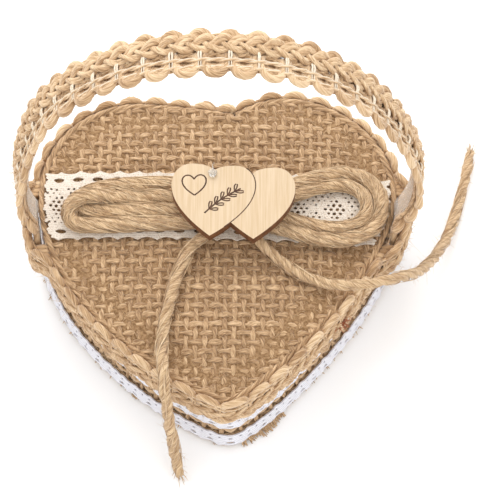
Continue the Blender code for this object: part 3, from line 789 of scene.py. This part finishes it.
def braid(length, lay_out, seed, face_side=1.0, bars=1):
    """The strands of one length of braid: those of its ground and edges, and those that stand up on it.
    lay_out(s, v, h) puts a place on the surface and gives its up direction: s along the braid, v across it,
    h above it. face_side is the side of the plait, bars the material slot of the short bars."""
    rng = np.random.default_rng(seed)
    repeats = max(1, round(length / braid_pitch))
    pitch = length / repeats
    found = []
    hair_starts = []
    hair_outs = []

    def put(s, v, h, wide, high, sides, slot=0, shade=None, twist=-0.5, rough=0.05):
        points, up = lay_out(s, v * face_side, h)
        keep = np.concatenate([[True], np.linalg.norm(np.diff(points, axis=0), axis=1) > 1e-4])
        points = points[keep]
        up = np.broadcast_to(up, (len(keep), 3))[keep]
        wide = np.broadcast_to(wide, len(keep))[keep]
        high = np.broadcast_to(high, len(keep))[keep]
        tone = rng.random() if shade is None else shade
        own_seed = int(rng.integers(1 << 30))
        found.append(yarn(points, up, wide, high, sides, tone, slot, twist, rough, own_seed))
        return points, up

    # the strand that goes to and fro, in single turns so that each has its own shade
    for number in range(repeats * 2 + 1):
        edge = -1 if number % 2 == 0 else 1
        turn = np.linspace(-math.pi * 0.62, math.pi * 0.62, 22)
        reach = np.cos(turn * 0.8)
        for layer, (inset, fat) in enumerate(((0.0, 1.0), (1.15, 0.8), (2.1, 0.6))):
            s = number * pitch / 2 + (2.75 - 0.55 * inset) * np.sin(turn * 0.9) + rng.normal(0, 0.08)
            s = np.clip(s, 0.1, length - 0.1)
            v = edge * (-0.6 + (6.35 - inset) * np.abs(reach) ** 0.55) + rng.normal(0, 0.10)
            h = -0.25 + 0.75 * np.abs(reach) - 0.25 * layer + (0.25 if edge < 0 else 0.0)
            thick = fat * (1.0 + 0.18 * np.cos(turn)) * (1 + rng.normal(0, 0.05))
            points, up = put(s, v, h, 0.92 * thick, 0.85 * thick, 9)
            if layer == 0:
                hair_starts.append(points)
                hair_outs.append(up)

    s = np.arange(0, length, 0.6)
    phase = 2 * math.pi * s / pitch
    # jute that runs along under the ladder, with holes left between the runs; a low shade paints it a little
    # darker, as shade under the ladder
    for v0 in (-3.3, -2.0, -0.7, 0.5, 1.8, 3.0, 4.1):
        put(s, v0 + 0.2 * np.sin(phase + v0 * 3), -0.75 + 0.1 * np.cos(phase), 0.80, 0.36, 7, shade=0.35)
    ground = len(found)
    for v0, wide in ((-2.9, 0.5), (-1.3, 0.62), (-0.1, 0.7)):
        for k in range(2):
            swing = phase * 1.5 + math.pi * k
            put(s, v0 + 0.36 * np.sin(swing + v0), -0.15 + 0.25 * np.cos(swing), wide * 0.62, 0.42, 6)
    # thin chains along both sides of the ladder, and the white bars between them
    for v0, slot, wide in ((-4.1, 0, 0.24), (-3.8, 1, 0.15), (-2.1, 0, 0.24), (-1.8, 1, 0.15)):
        for k in range(2):
            put(s, v0 + 0.26 * np.sin(phase + math.pi * k), 0.95 + 0.2 * np.cos(phase + math.pi * k),
                wide, wide * 0.9, 6, slot, shade=0.8, twist=-0.2)
    for number in range(repeats):
        for side in (-0.19, 0.19):
            t = np.linspace(0, 1, 9)
            middle = (number + 0.5) * pitch + side + rng.normal(0, 0.10)
            bow = np.sin(math.pi * t)
            put(middle + 0.6 * side * bow, -2.0 + 2.5 * t, 0.95 + 0.45 * bow, 0.27, 0.24, 6, bars, twist=0)
            put(middle + 0.5 * side + 0 * t, -4.0 + 2.0 * t, 0.85 + 0.25 * bow, 0.15, 0.15, 5, bars, twist=0)
    # the raised plait: three flat strands of two yarns each, laid in long stitches
    for k in range(3):
        turn = phase * 0.55 + 2 * math.pi * k / 3
        for half in (-0.42, 0.42):
            v = 2.4 + 1.65 * np.sin(turn) + half * np.cos(turn) * 0.7 + half * 0.7
            h = 0.95 + 0.42 * np.sin(2 * turn) + 0.12 * half
            points, up = put(s, v, h, 0.68 + 0.08 * np.sin(s + k), 0.46, 8)
            hair_starts.append(points)
            hair_outs.append(up)
    put(s, 4.8 + 0.2 * np.sin(phase), 0.7 + 0.15 * np.cos(phase), 0.34, 0.3, 6, shade=0.85)
    hair_starts = np.vstack(hair_starts)
    hair_outs = np.vstack(hair_outs)
    found += stray_fibres(rng, hair_starts + hair_outs * 0.6, hair_outs, int(length * 2.6), 3.4)
    return found[:ground], found[ground:]


rim_low, rim_high = (corner.z * 1000 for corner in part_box("rim_braid"))
rim_middle = (rim_low + rim_high) / 2
strap_y = 8.5


def eased(t):
    """From 0 to 1 with a soft start and a soft stop."""
    return t * t * (3 - 2 * t)


def foot_bulge(y):
    """1 where a handle foot lies under the rim braid, falling to 0 beside it."""
    reach = np.maximum(0, np.abs(y - strap_y) - 7.5)
    return eased(np.maximum(0, 1 - reach / 6.5))


rim_lap = 9.0
rim_start = 2.0
rim_length = loop_length + rim_lap - rim_start


def rim_place(s, v, h):
    """The braid round the rim: it bulges over the feet and lies on itself where it laps."""
    s = np.asarray(s, float) + rim_start
    flat = wall_place(s, 0.0, 0.0)[0]
    lapped = eased(np.clip((s - loop_length + 3.0) / 7.0, 0, 1))
    offset = 0.3 + 3.2 * foot_bulge(flat[:, 1]) + 1.05 + np.asarray(h) * 0.86 + 0.9 * lapped
    back = np.clip((flat[:, 1] - 18) / 22, 0, 1)
    return wall_place(s, offset, rim_middle + np.asarray(v) * 0.985 - 0.6 * lapped - 1.5 * back)


rim_ground, rim_raised = braid(rim_length, rim_place, 31, face_side=-1.0, bars=0)
rim = made_of("rim_jute_braid", rim_ground, [braid_jute, binder])
rim_plait = made_of("rim_jute_plait", rim_raised, [braid_jute, binder])
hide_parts("rim_braid")
red_jute = jute("reddish jute", (0.20, 0.05, 0.02), (0.40, 0.12, 0.05), (0.56, 0.24, 0.11), bump=0.55)
spot_rng = np.random.default_rng(83)
spot_run = loop_run[int(np.argmin(np.linalg.norm(outline - (37.5, -23.0), axis=1)))]
spot = []
for _ in range(34):
    start, out = wall_place([spot_run + spot_rng.normal(0, 1.1)], 2.6, 21.4 + spot_rng.normal(0, 0.6))
    t = np.linspace(0, 1, 6)[:, None]
    aim = out[0] * spot_rng.uniform(0.7, 1.9) + spot_rng.normal(0, 0.6, 3)
    thin = 0.17 - 0.11 * t[:, 0]
    spot.append(yarn(start[0] + aim * t + spot_rng.normal(0, 0.4, 3) * t * t, (0, 0, 1.0), thin, thin, 4,
                     spot_rng.random()))
frayed = made_of("rim_frayed_spot", spot, [red_jute])
for piece in (rim, rim_plait, frayed):
    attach(piece, "pillow")


# ---- Handle ----
# The same braid as one strap. Its feet go down between the wall and the rim braid and are glued there.
# Loose jute fills the corners beside each foot, and a clear plastic strip inside the strap holds the arch.

def spaced(points, step):
    """The same line with its points a step apart."""
    points = np.asarray(points, float)
    run = run_of(points)
    count = max(3, int(round(run[-1] / step)) + 1)
    want = np.linspace(0, run[-1], count)
    return np.stack([np.interp(want, run, points[:, k]) for k in range(points.shape[1])], 1)


handle_half_span = 57.5
handle_rise = 82.0
handle_round = 2.15
handle_x = 0.5
foot_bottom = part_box("braid_tab_left")[0].z * 1000
strap_bottom = 30.6


def edge_x(offset, y, side):
    """Where the wall, moved out by an offset, crosses a place along Y."""
    edge = outline + outline_out * offset
    part = edge[(edge[:, 0] * side > 15) & (np.abs(edge[:, 1] - strap_y) < 25)]
    order = np.argsort(part[:, 1])
    return np.interp(y, part[order, 1], part[order, 0])


angle = np.pi * (1 - np.linspace(0, 1, 2001))
arch_x = handle_x + np.sign(np.cos(angle)) * np.abs(np.cos(angle)) ** (2 / handle_round) * handle_half_span
arch_z = face_edge + np.abs(np.sin(angle)) ** (2 / handle_round) * handle_rise
arch = np.stack([arch_x, arch_z], 1)[arch_z >= strap_bottom]
tab_offset = 2.1
foot_left = edge_x(tab_offset, strap_y, -1)
foot_right = edge_x(tab_offset, strap_y, 1)
share = np.maximum(0, 1 - (arch[:, 1] - strap_bottom) / 27.0) ** 2
arch[:, 0] += np.where(arch[:, 0] < 0, foot_left - arch[0, 0], foot_right - arch[-1, 0]) * share
down = np.linspace(foot_bottom, strap_bottom - 0.5, 12)
strap_line = np.vstack([np.stack([np.full_like(down, foot_left), down], 1), arch,
                        np.stack([np.full_like(down, foot_right), down[::-1]], 1)])
strap_line = spaced(strap_line, 0.5)
strap_run = run_of(strap_line)
strap_length = strap_run[-1]
strap_heading = np.gradient(strap_line, axis=0)
for _ in range(40):
    strap_heading[1:-1] = (strap_heading[:-2] + strap_heading[1:-1] + strap_heading[2:]) / 3
strap_out = np.stack([-strap_heading[:, 1], strap_heading[:, 0]], 1)
strap_out /= np.linalg.norm(strap_out, axis=1)[:, None]


def strap_place(s, v, h):
    """The strap: its feet follow the wall, and above the rim it widens and turns a little to the front."""
    s = np.asarray(s, float)
    v = np.broadcast_to(v, s.shape)
    x, z = (np.interp(s, strap_run, strap_line[:, k]) for k in range(2))
    out = np.stack([np.interp(s, strap_run, strap_out[:, k]) for k in range(2)], 1)
    lean = np.where(x < 0, edge_x(tab_offset, strap_y + v, -1) - foot_left,
                    edge_x(tab_offset, strap_y + v, 1) - foot_right)
    fade = eased(np.clip((44 - z) / 16, 0, 1))
    flatter = 1 - 0.35 * np.clip((32 - z) / 3, 0, 1)
    h = np.asarray(h) * flatter
    free = np.clip((z - 32) / 18, 0, 1) ** 2
    turned = np.where(x < 0, 0.20, -0.05) * free * np.clip((104 - z) / 30, 0, 1)
    drawn = np.where(x < 0, -1.5, 0.0) * np.exp(-((z - 84) / 17) ** 2) + turned * (7 - v)
    across = v * (1 + 0.12 * free) + 0.6 * free
    points = np.stack([x + out[:, 0] * h + lean * fade + drawn, strap_y + across, z + out[:, 1] * h], 1)
    up = np.stack([out[:, 0], -turned, out[:, 1]], 1)
    return points, up / np.linalg.norm(up, axis=1)[:, None]


handle_ground, handle_raised = braid(strap_length, strap_place, 47)
handle = made_of("handle_jute_braid", handle_ground, [braid_jute, binder])
handle_plait = made_of("handle_jute_plait", handle_raised, [braid_jute, binder])
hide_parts("handle_braid", "braid_tab_left", "braid_tab_right")
for piece in (handle, handle_plait):
    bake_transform(piece)

# The jute that fills the corners beside each foot gets a low shade: it is painted dark, as shade in those
# corners.
tucks = []
tuck_rng = np.random.default_rng(71)
for side in (-1, 1):
    for away in (-12.4, -11.2, -9.9, -8.7, 8.7, 9.9, 11.2, 12.4):
        y = strap_y + away
        full = 0.3 + 0.5 * (3.2 * float(foot_bulge(np.array(y))) + 0.7)
        z = np.linspace(17.0, 26.6, 14)
        x = edge_x(0.1 + full, y, side) + 0.15 * np.sin(z * 0.9 + away)
        line = np.stack([x, y + 0.2 * np.sin(z * 0.7), z], 1)
        tucks.append(yarn(line, (side, 0, 0), 0.85, full, 9, 0.3 * tuck_rng.random(), twist=-0.5,
                          rough=0.06))
tuck = made_of("strap_end_tucks", tucks, [braid_jute])
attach(tuck, "pillow")


def clear_plastic(name, values, scale, strength, distance):
    """Clear plastic with a slightly uneven surface."""
    material, nodes, links, shader = new_material(name, values)
    where = nodes.new("ShaderNodeTexCoord")
    uneven = add_node(nodes, "TexNoise", {"Scale": scale})
    links.new(where.outputs["Object"], uneven.inputs["Vector"])
    relief_by(nodes, links, shader, uneven.outputs["Fac"], strength, distance)
    return material


clear_film = clear_plastic("clear film", {
    "Base Color": (1.0, 0.99, 0.97, 1), "Alpha": 0.42, "Roughness": 0.22, "IOR": 1.45,
    "Transmission Weight": 0.6}, 260.0, 0.15, 0.0003)
film_s = np.arange(0, strap_length, 1.0)
film_points, film_up = strap_place(film_s, np.zeros(len(film_s)), np.full(len(film_s), -1.62))
film = made_of("clear_handle_strip", [yarn(film_points, film_up, 3.3, 0.2, 16, 0.5)], [clear_film])
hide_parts("handle_strip", "strip_tab_left", "strip_tab_right")
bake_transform(film)


# ---- Cream lace across the face ----
# A band of cotton lace 23 mm wide, cut raw at both ends: scalloped edges, a row of oval eyelets inside
# each edge and a ground of small holes with diamonds. It lies over the crown of the face.

cream_cotton = lace_cotton("cream cotton", (0.84, 0.76, 0.66), (0.56, 0.46, 0.36), 0.5, ribbed=0.12)
band_middle = 11.5
band_half = 11.5
band_slope = -0.025
eyelet_pitch = 5.6


def band_solid(u, v):
    """Above 0 where the lace has thread."""
    w = np.abs(v)
    edge = band_half - 0.15 - 0.95 * np.abs(np.sin(math.pi * u / eyelet_pitch)) ** 0.8 - w
    eyelets = hole(centred(u + 0.6 * np.sign(v), eyelet_pitch), w - 8.45, 1.55, 0.74)
    diamond = np.abs(centred(u, 11.2)) / 5.6 + w / 6.6
    size = np.where(diamond < 0.55, 0.56, np.where(np.abs(diamond - 0.80) < 0.13, 0.05, 0.42))
    size = size * (1 + 0.22 * np.sin(u * 2.3 + v * 1.7) * np.sin(v * 3.1 - u))
    pin_u = centred(u + 0.85 * np.mod(np.round(v / 1.35), 2), 1.7)
    pin_v = centred(v, 1.35)
    pins = np.sqrt(pin_u ** 2 + (pin_v * 1.1) ** 2) - np.where(w < 6.4, size, 0.02)
    y = band_middle + v + band_slope * u
    notched = 0.9 + 0.9 * np.abs(centred(v, 1.3)) + 0.4 * np.sin(v * 1.7)
    left = u - edge_x(0, y, -1) - notched
    right = edge_x(0, y, 1) - notched - u
    return np.minimum.reduce([edge, eyelets, pins, left, right])


def band_place(u, v):
    """The lace on the face, a little uneven."""
    y = band_middle + v + band_slope * u
    z = face_top(u, y) + 0.22 + 0.10 * np.sin(u * 1.3 + v) * np.sin(v * 1.1)
    return np.stack([u, y, z], 1), np.array((0, 0, 1.0))


band_left, band_right = (corner.x * 1000 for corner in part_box("face_lace"))
lace_band = cut_sheet("cream_face_lace", band_solid, band_left, band_right, -band_half, band_half, 0.3,
                      band_place, 0.42, cream_cotton)
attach(lace_band, "pillow")
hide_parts("face_lace")


# ---- Bow: the two tails of jute twine ----
# Three soft plies of jute, laid together with a slow twist. The ends are cut, and fray.
# The tails leave the knot, cross the face and the rim, and hang down to the table.

tail_left_route = [
    (1.2, 3.1, 31.6), (-3.0, 0.9, 31.6), (-7.3, -3.0, 31.2), (-10.3, -9.8, 30.6), (-12.8, -19.2, 30.3),
    (-14.4, -27.6, 29.9), (-14.6, -33.6, 30.7), (-14.4, -38.2, 31.9), (-14.1, -42.8, 31.9),
    (-13.6, -47.0, 29.2), (-13.1, -50.2, 23.6), (-12.4, -52.6, 16.5), (-11.9, -54.2, 10.5),
    (-11.2, -56.2, 5.4), (-10.4, -59.6, 1.9),
]
tail_right_route = [
    (9.0, 3.2, 31.6), (13.2, -2.6, 31.2), (18.6, -7.6, 30.5), (23.4, -11.0, 30.3), (29.2, -13.7, 30.5),
    (35.2, -15.2, 31.6), (41.0, -15.2, 32.2), (46.6, -13.6, 31.2), (51.6, -10.6, 28.2), (56.0, -6.2, 22.0),
    (60.2, 0.4, 14.6), (64.2, 8.4, 8.0), (68.2, 17.6, 3.8), (71.2, 26.6, 1.8), (74.0, 37.2, 1.6),
    (76.2, 46.8, 1.6),
]
twine_diameter = {"tail_left": 3.4, "tail_right": 3.1}


def through(route, step=0.8):
    """A smooth line through the points of a route."""
    points = np.asarray(route, float)
    padded = np.vstack([2 * points[0] - points[1], points, 2 * points[-1] - points[-2]])
    fine = []
    for a, b, c, d in zip(padded, padded[1:], padded[2:], padded[3:]):
        t = np.linspace(0, 1, 24, endpoint=False)[:, None]
        fine.append(0.5 * (2 * b + (c - a) * t + (2 * a - 5 * b + 4 * c - d) * t * t
                           + (3 * b - a - 3 * c + d) * t ** 3))
    fine.append(points[-1:])
    return spaced(np.vstack(fine), step)


def carried_frame(line):
    """Two directions square to a line, carried along it without turning."""
    along = heading(line)
    side = np.cross(along[0], (0, 0, 1.0))
    if np.linalg.norm(side) < 0.1:
        side = np.array((1.0, 0, 0))
    sides = []
    for direction in along:
        side = side - direction * np.dot(side, direction)
        side /= np.linalg.norm(side)
        sides.append(side)
    sides = np.array(sides)
    return sides, np.cross(along, sides)


def twine(line, diameter, lay, seed, flat=1.0, frayed_end=False, hairs=1.2, plies=3, wisps=0.0):
    """Plies round a line, and the hairs and wisps of fibre along it. One end may be frayed."""
    rng = np.random.default_rng(seed)
    side, other = carried_frame(line)
    run = run_of(line)
    ply = diameter * (0.262 if plies == 3 else 0.205)
    reach = diameter / 2 - ply
    turn = 2 * math.pi * run / lay + 0.5 * np.sin(run / 9.0 + seed)
    found = []
    starts = []
    outs = []
    for k in range(plies):
        angle = turn + 2 * math.pi * k / plies
        out = side * np.cos(angle)[:, None] + other * np.sin(angle)[:, None]
        offset = out * reach
        offset[:, 2] *= flat
        swell = 1 + 0.10 * np.sin(run * 0.9 + 2.1 * k + seed) + 0.07 * np.sin(run * 2.3 + 4.0 * k)
        thick = ply * swell
        if frayed_end:
            thick = thick * (1 - 0.45 * np.clip((run - run[-1] + 3.5) / 3.5, 0, 1))
        found.append(yarn(line + offset, out, thick * 1.06, thick * 0.98, 12,
                          0.35 + 0.4 * rng.random(), twist=-0.55, rough=0.045, seed=seed + k))
        starts.append(line + offset + out * ply * 0.8)
        outs.append(out)
    starts = np.vstack(starts)
    outs = np.vstack(outs)
    low = starts[:, 2] > 1.2
    loose = stray_fibres(rng, starts[low], outs[low], int(run[-1] * hairs), 3.2)
    for _ in range(int(run[-1] * wisps)):
        first = int(rng.integers(0, len(line) - 12))
        last = min(len(line), first + int(rng.integers(10, 34)))
        part = slice(first, last, 2)
        if len(line[part]) < 4:
            continue
        drift = rng.uniform(0, 6.28) + (run[part] - run[first]) * rng.uniform(0.02, 0.30)
        away = diameter / 2 * rng.uniform(0.88, 1.16)
        ring = side[part] * np.cos(drift)[:, None] + other[part] * np.sin(drift)[:, None]
        offset = ring * away
        offset[:, 2] *= flat
        wisp = line[part] + offset
        thin = rng.uniform(0.07, 0.20) * np.sin(np.linspace(0.15, math.pi - 0.15, len(wisp)))
        if wisp[:, 2].min() > 0.3:
            loose.append(yarn(wisp, ring, thin * 1.5, thin, 4, 0.2 + 0.8 * rng.random()))
    if frayed_end:
        ends = heading(line)[-1]
        for _ in range(26):
            spread = rng.normal(0, 0.34, 3)
            spread[2] *= 0.35
            t = np.linspace(0, 1, 5)[:, None]
            base = line[-1] - ends * rng.uniform(0.5, 2.5) + rng.normal(0, 0.35, 3)
            tip = (ends + spread) * rng.uniform(1.6, 3.6)
            strand = base + tip * t
            strand[:, 2] = np.maximum(strand[:, 2], 0.3)
            loose.append(yarn(strand, (0, 0, 1.0), 0.13 - 0.09 * t[:, 0], 0.10 - 0.06 * t[:, 0], 4,
                              0.4 + 0.5 * rng.random()))
    return found, loose


twine_jute = jute("twine jute", (0.28, 0.155, 0.075), (0.54, 0.36, 0.20), (0.82, 0.62, 0.39), bump=0.8)


def lay_twine(name, node, strands):
    """Makes a length of twine and its hairs, fixes them to the pillow and hides the part they stand for."""
    turns, hairs = strands
    cord = made_of(name, turns, [twine_jute])
    fuzz = made_of(name + "_hairs", hairs, [twine_jute])
    for piece in (cord, fuzz):
        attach(piece, "pillow")
    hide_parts(node)


for node, route, seed in (("tail_left", tail_left_route, 3), ("tail_right", tail_right_route, 11)):
    line = through(route)
    thick = twine_diameter[node]
    strands = twine(line, thick, 17.0, seed, frayed_end=True, wisps=0.5)
    lay_twine(node + "_twine", node, strands)


# ---- Bow: the four loops and the knot ----
# The same twine, opened up and softer in the loops, which lie flat on the lace.
# The knot is a few turns round the middle, under the wooden charm.

loop_routes = {
    "bow_loop_left_back": [
        (-0.4, 15.0, 31.6), (-7.8, 17.0, 31.5), (-16.3, 17.6, 31.3), (-24.0, 17.4, 31.1), (-31.0, 16.9, 30.8),
        (-36.6, 15.2, 30.5), (-39.2, 12.6, 30.4), (-37.8, 9.8, 30.5), (-33.0, 8.9, 30.8), (-24.0, 8.9, 31.2),
        (-16.3, 9.0, 31.4), (-8.0, 8.9, 31.6), (-0.4, 8.8, 31.6),
    ],
    "bow_loop_left_front": [
        (-0.4, 11.9, 31.6), (-8.0, 12.9, 31.5), (-16.2, 13.3, 31.4), (-24.0, 13.2, 31.1), (-30.0, 13.0, 32.1),
        (-34.8, 12.8, 33.5), (-39.0, 11.8, 33.4), (-41.6, 9.0, 32.0), (-40.6, 5.6, 30.7), (-35.6, 4.5, 30.7),
        (-26.0, 4.6, 31.1), (-16.2, 4.9, 31.4), (-8.0, 5.2, 31.6), (-0.4, 5.6, 31.6),
    ],
    "bow_loop_right_outer": [
        (8.4, 15.0, 31.5), (16.5, 16.0, 31.3), (23.5, 18.2, 31.1), (30.0, 20.6, 30.7), (36.8, 21.6, 30.4),
        (42.4, 19.8, 30.1), (45.8, 15.6, 29.9), (46.6, 10.4, 29.9), (44.6, 4.8, 30.1), (40.2, 1.1, 30.4),
        (34.0, -0.4, 30.7), (27.0, 0.3, 31.1), (17.5, 3.2, 31.4), (8.4, 5.7, 31.6),
    ],
    "bow_loop_right_inner": [
        (8.4, 11.9, 31.5), (16.5, 12.4, 31.4), (23.0, 14.2, 31.2), (29.4, 16.6, 30.9), (35.4, 17.6, 30.5),
        (40.2, 16.0, 30.3), (42.4, 12.2, 30.2), (42.0, 8.0, 30.3), (38.9, 4.9, 30.5), (33.8, 3.6, 30.8),
        (27.4, 4.2, 31.1), (17.6, 6.9, 31.4), (8.4, 8.8, 31.6),
    ],
}
loop_thickness = {"bow_loop_left_back": 4.2, "bow_loop_left_front": 4.4, "bow_loop_right_outer": 4.0,
                  "bow_loop_right_inner": 3.5}
for number, (node, route) in enumerate(loop_routes.items()):
    line = through(route)
    thick = loop_thickness[node]
    strands = twine(line, thick, 34.0, 20 + 7 * number, flat=0.72, hairs=3.0, plies=5, wisps=4.0)
    lay_twine(node + "_twine", node, strands)

knot_low, knot_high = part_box("bow_knot")
knot_middle = (knot_low + knot_high) * 500
knot_half = (knot_high - knot_low) * 500
knot_turns = 2.6
turn = np.linspace(0, 2 * math.pi * knot_turns, 150)
knot_line = np.stack([
    knot_middle.x + (turn / turn[-1] - 0.5) * 2 * (knot_half.x - 1.5),
    knot_middle.y + (knot_half.y - 1.4) * np.sin(turn),
    knot_middle.z - (knot_half.z - 1.5) * np.cos(turn),
], 1)
knot_strands, knot_hairs = twine(spaced(knot_line, 0.8), 2.9, 16.0, 61, hairs=0.6)
knot = made_of("bow_knot_twine", knot_strands + knot_hairs, [twine_jute])
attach(knot, "pillow")
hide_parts("bow_knot")


# ---- Wooden charm ----
# Two hearts laser-cut in one piece from pale plywood. The cut edge is burnt brown. The left heart's
# outline is engraved over the right one, with a small heart and a leafy sprig inside it.

charm_low, charm_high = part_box("heart_charm")
charm_half = 11.8
charm_tall = 23.0
charm_left = np.array((-1.2, 8.0))
charm_right = np.array((10.2, 7.0))
charm_turn = math.radians(-3.5)


def on_charm(points, turn, middle):
    """The points turned, and moved to their place on the wood."""
    c, s = math.cos(turn), math.sin(turn)
    return np.array(middle) + np.asarray(points, float) @ np.array(((c, s), (-s, c)))


def charm_heart(middle, turn, size=1.0, dip=0.80):
    """The outline of a heart with a pointed tip. Its notch lies at the share dip of its half height."""
    w = charm_half * size
    top = charm_tall * 0.5 * size
    notch = np.array((0, top * dip))
    tip = np.array((0, -top))
    lobe = np.array((w * 0.52, top))
    side = np.array((w, top * 0.42))
    half = np.vstack([
        bend(tip, tip + (w * 0.30, w * 0.22), side - (0, w * 0.62), side, 14),
        bend(side, side + (0, w * 0.34), lobe + (w * 0.28, 0), lobe, 10),
        bend(lobe, lobe - (w * 0.26, 0), notch + (0, w * 0.12), notch, 10)])
    loop = np.vstack([half, [notch], (half[1:] * (-1, 1))[::-1]])
    return on_charm(loop, turn, middle)


def cut_board(name, loop, bottom, top):
    """A board sawn to an outline: the outline is filled, given its thickness and made a mesh."""
    curve = bpy.data.curves.new(name, "CURVE")
    curve.dimensions = "2D"
    curve.fill_mode = "BOTH"
    line = curve.splines.new("POLY")
    line.points.add(len(loop) - 1)
    for point, place in zip(line.points, loop):
        point.co = (*place * 0.001, 0, 1)
    line.use_cyclic_u = True
    curve.extrude = (top - bottom) / 2
    board = placed(name, curve)
    board.location.z = (top + bottom) / 2
    bpy.ops.object.select_all(action="DESELECT")
    bpy.context.view_layer.objects.active = board
    board.select_set(True)
    bpy.ops.object.convert(target="MESH")
    bpy.ops.object.transform_apply(location=True, rotation=True, scale=True)
    bpy.ops.object.mode_set(mode="EDIT")
    bpy.ops.mesh.select_all(action="SELECT")
    bpy.ops.mesh.remove_doubles(threshold=0.00001)
    bpy.ops.mesh.normals_make_consistent(inside=False)
    bpy.ops.object.mode_set(mode="OBJECT")
    return bpy.context.object


def wood(name, pale, grain_colour, scale_across):
    """Wood with a fine grain that runs up the hearts."""
    material, nodes, links, shader = new_material(name, {"Roughness": 0.62, "Specular IOR Level": 0.3})
    where = nodes.new("ShaderNodeTexCoord")
    stretched = add_node(nodes, "Mapping", {"Scale": (scale_across, scale_across * 0.035, 300)})
    links.new(where.outputs["Object"], stretched.inputs["Vector"])
    grain = add_node(nodes, "TexNoise", {"Scale": 1.0, "Detail": 5.0, "Roughness": 0.6})
    links.new(stretched.outputs[0], grain.inputs["Vector"])
    colour_by(nodes, links, shader, grain.outputs["Fac"], ((0.30, grain_colour), (0.62, pale)))
    relief_by(nodes, links, shader, grain.outputs["Fac"], 0.25, 0.0001)
    return material


pale_wood = wood("pale plywood", (0.65, 0.51, 0.35), (0.56, 0.41, 0.25), 1900)
burnt_wood = wood("burnt edge", (0.20, 0.085, 0.035), (0.10, 0.04, 0.018), 900)
engraved_wood = wood("engraved", (0.10, 0.045, 0.022), (0.04, 0.018, 0.010), 900)
charm = cut_board("wooden_charm", charm_heart(charm_left, charm_turn), charm_low.z, charm_high.z)
second = cut_board("second_heart", charm_heart(charm_right, 0.0), charm_low.z, charm_high.z)
use(charm, "BOOLEAN", "second heart", operation="UNION", object=second, solver="EXACT")
bpy.data.objects.remove(second, do_unlink=True)
use(charm, "BEVEL", "sanded edge", width=0.00018, segments=2, limit_method="ANGLE",
    angle_limit=math.radians(60))
charm.data.materials.clear()
charm.data.materials.append(pale_wood)
charm.data.materials.append(burnt_wood)
for face in charm.data.polygons:
    face.material_index = 0 if abs(face.normal.z) > 0.8 else 1


def burnt_line(points, wide, closed=False):
    """A line burnt into the top of the wood."""
    points = np.asarray(points, float)
    if closed:
        points = np.vstack([points, points[:1]])
    line = spaced(np.column_stack([points, np.full(len(points), charm_high.z * 1000 - 0.02)]), 0.25)
    return yarn(line, (0, 0, 1.0), wide / 2, 0.07, 8, 0.5, rough=0.08, seed=len(points))


border = charm_heart(charm_left, charm_turn)
on_right = (border[:, 0] > charm_left[0] + 1.5) & (border[:, 1] > -2.5)
edge_points = border[on_right]
order = np.argsort(np.arctan2(edge_points[:, 1] - charm_left[1], edge_points[:, 0] - charm_left[0]))
edge_points = edge_points[order]
covered = [p for p in edge_points if np.linalg.norm((p - charm_right) / (1.0, 1.05)) < 11.2]
sprig_turn = math.radians(38)
sprig_middle = (1.6, 7.8)


def stem_height(x):
    """The sprig's stem bends a little."""
    return 0.5 * math.sin((x + 5.6) * 0.28)


stem = [(x, stem_height(x)) for x in np.linspace(-6.4, 6.4, 16)]
small_heart = charm_heart(np.array((-6.3, 12.8)), math.radians(2), 0.285, dip=0.55)
lines = [burnt_line(covered, 0.34), burnt_line(small_heart, 0.50, closed=True),
         burnt_line(on_charm(stem, sprig_turn, sprig_middle), 0.55)]
for number in range(5):
    x = -4.6 + 2.25 * number
    for side in (-1, 1):
        for along, aside in ((0.0, 0.55), (0.55, 0.0)):
            leaf = [(x + 2.2 * t + along * math.sin(math.pi * t),
                     stem_height(x) + side * (1.75 * t + aside * math.sin(math.pi * t)))
                    for t in np.linspace(0.0, 0.85, 7)]
            lines.append(burnt_line(on_charm(leaf, sprig_turn, sprig_middle), 0.46))
engraving = made_of("charm_engraving", lines, [engraved_wood])
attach(engraving, "pillow")
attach(charm, "pillow")
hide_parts("heart_charm")


# ---- Hot glue ----
# A dab of clear glue that holds the charm, pressed up in the notch of the left heart.
# The thread was drawn out of it when the gun was lifted.

glue_low, glue_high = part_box("glue_dab")
glue_middle = (glue_low + glue_high) / 2
glue_clear = clear_plastic("hot glue", {"Base Color": (0.90, 0.88, 0.84, 1), "Roughness": 0.15,
                                        "Transmission Weight": 0.8, "IOR": 1.48}, 900.0, 0.3, 0.0002)
bpy.ops.object.select_all(action="DESELECT")
bpy.ops.mesh.primitive_uv_sphere_add(segments=24, ring_count=16, radius=(glue_high.x - glue_low.x) / 2,
                                     location=glue_middle)
glue = bpy.context.object
glue.name = "hot_glue_dab"
glue.scale.z = (glue_high.z - glue_low.z) / (glue_high.x - glue_low.x)
glue.location.z -= 0.0002
bpy.ops.object.transform_apply(location=True, rotation=True, scale=True)
for vert in glue.data.vertices:
    wobble = 1 + 0.16 * math.sin(vert.co.x * 2100 + 1.0) * math.sin(vert.co.y * 1900)
    vert.co = glue_middle + (vert.co - glue_middle) * wobble * 0.8
    vert.co.z = max(vert.co.z, charm_high.z + 0.00002)
glue.data.shade_smooth()
glue.data.materials.append(glue_clear)
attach(glue, "pillow")
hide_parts("glue_dab")
glue_top = np.array(glue_middle) * 1000
drawn = [glue_top + (0, 0.4, 0.5), glue_top + (0.1, 1.4, 0.2), glue_top + (-0.1, 2.8, -0.9),
         glue_top + (0.0, 4.2, -2.4), glue_top + (0.3, 5.8, -4.2), glue_top + (0.2, 7.0, -6.0)]
thread_strand = yarn(through(drawn, 0.4), (1.0, 0, 0), 0.16, 0.16, 8, 0.5)
thread = made_of("hot_glue_thread", [thread_strand], [glue_clear])
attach(thread, "pillow")
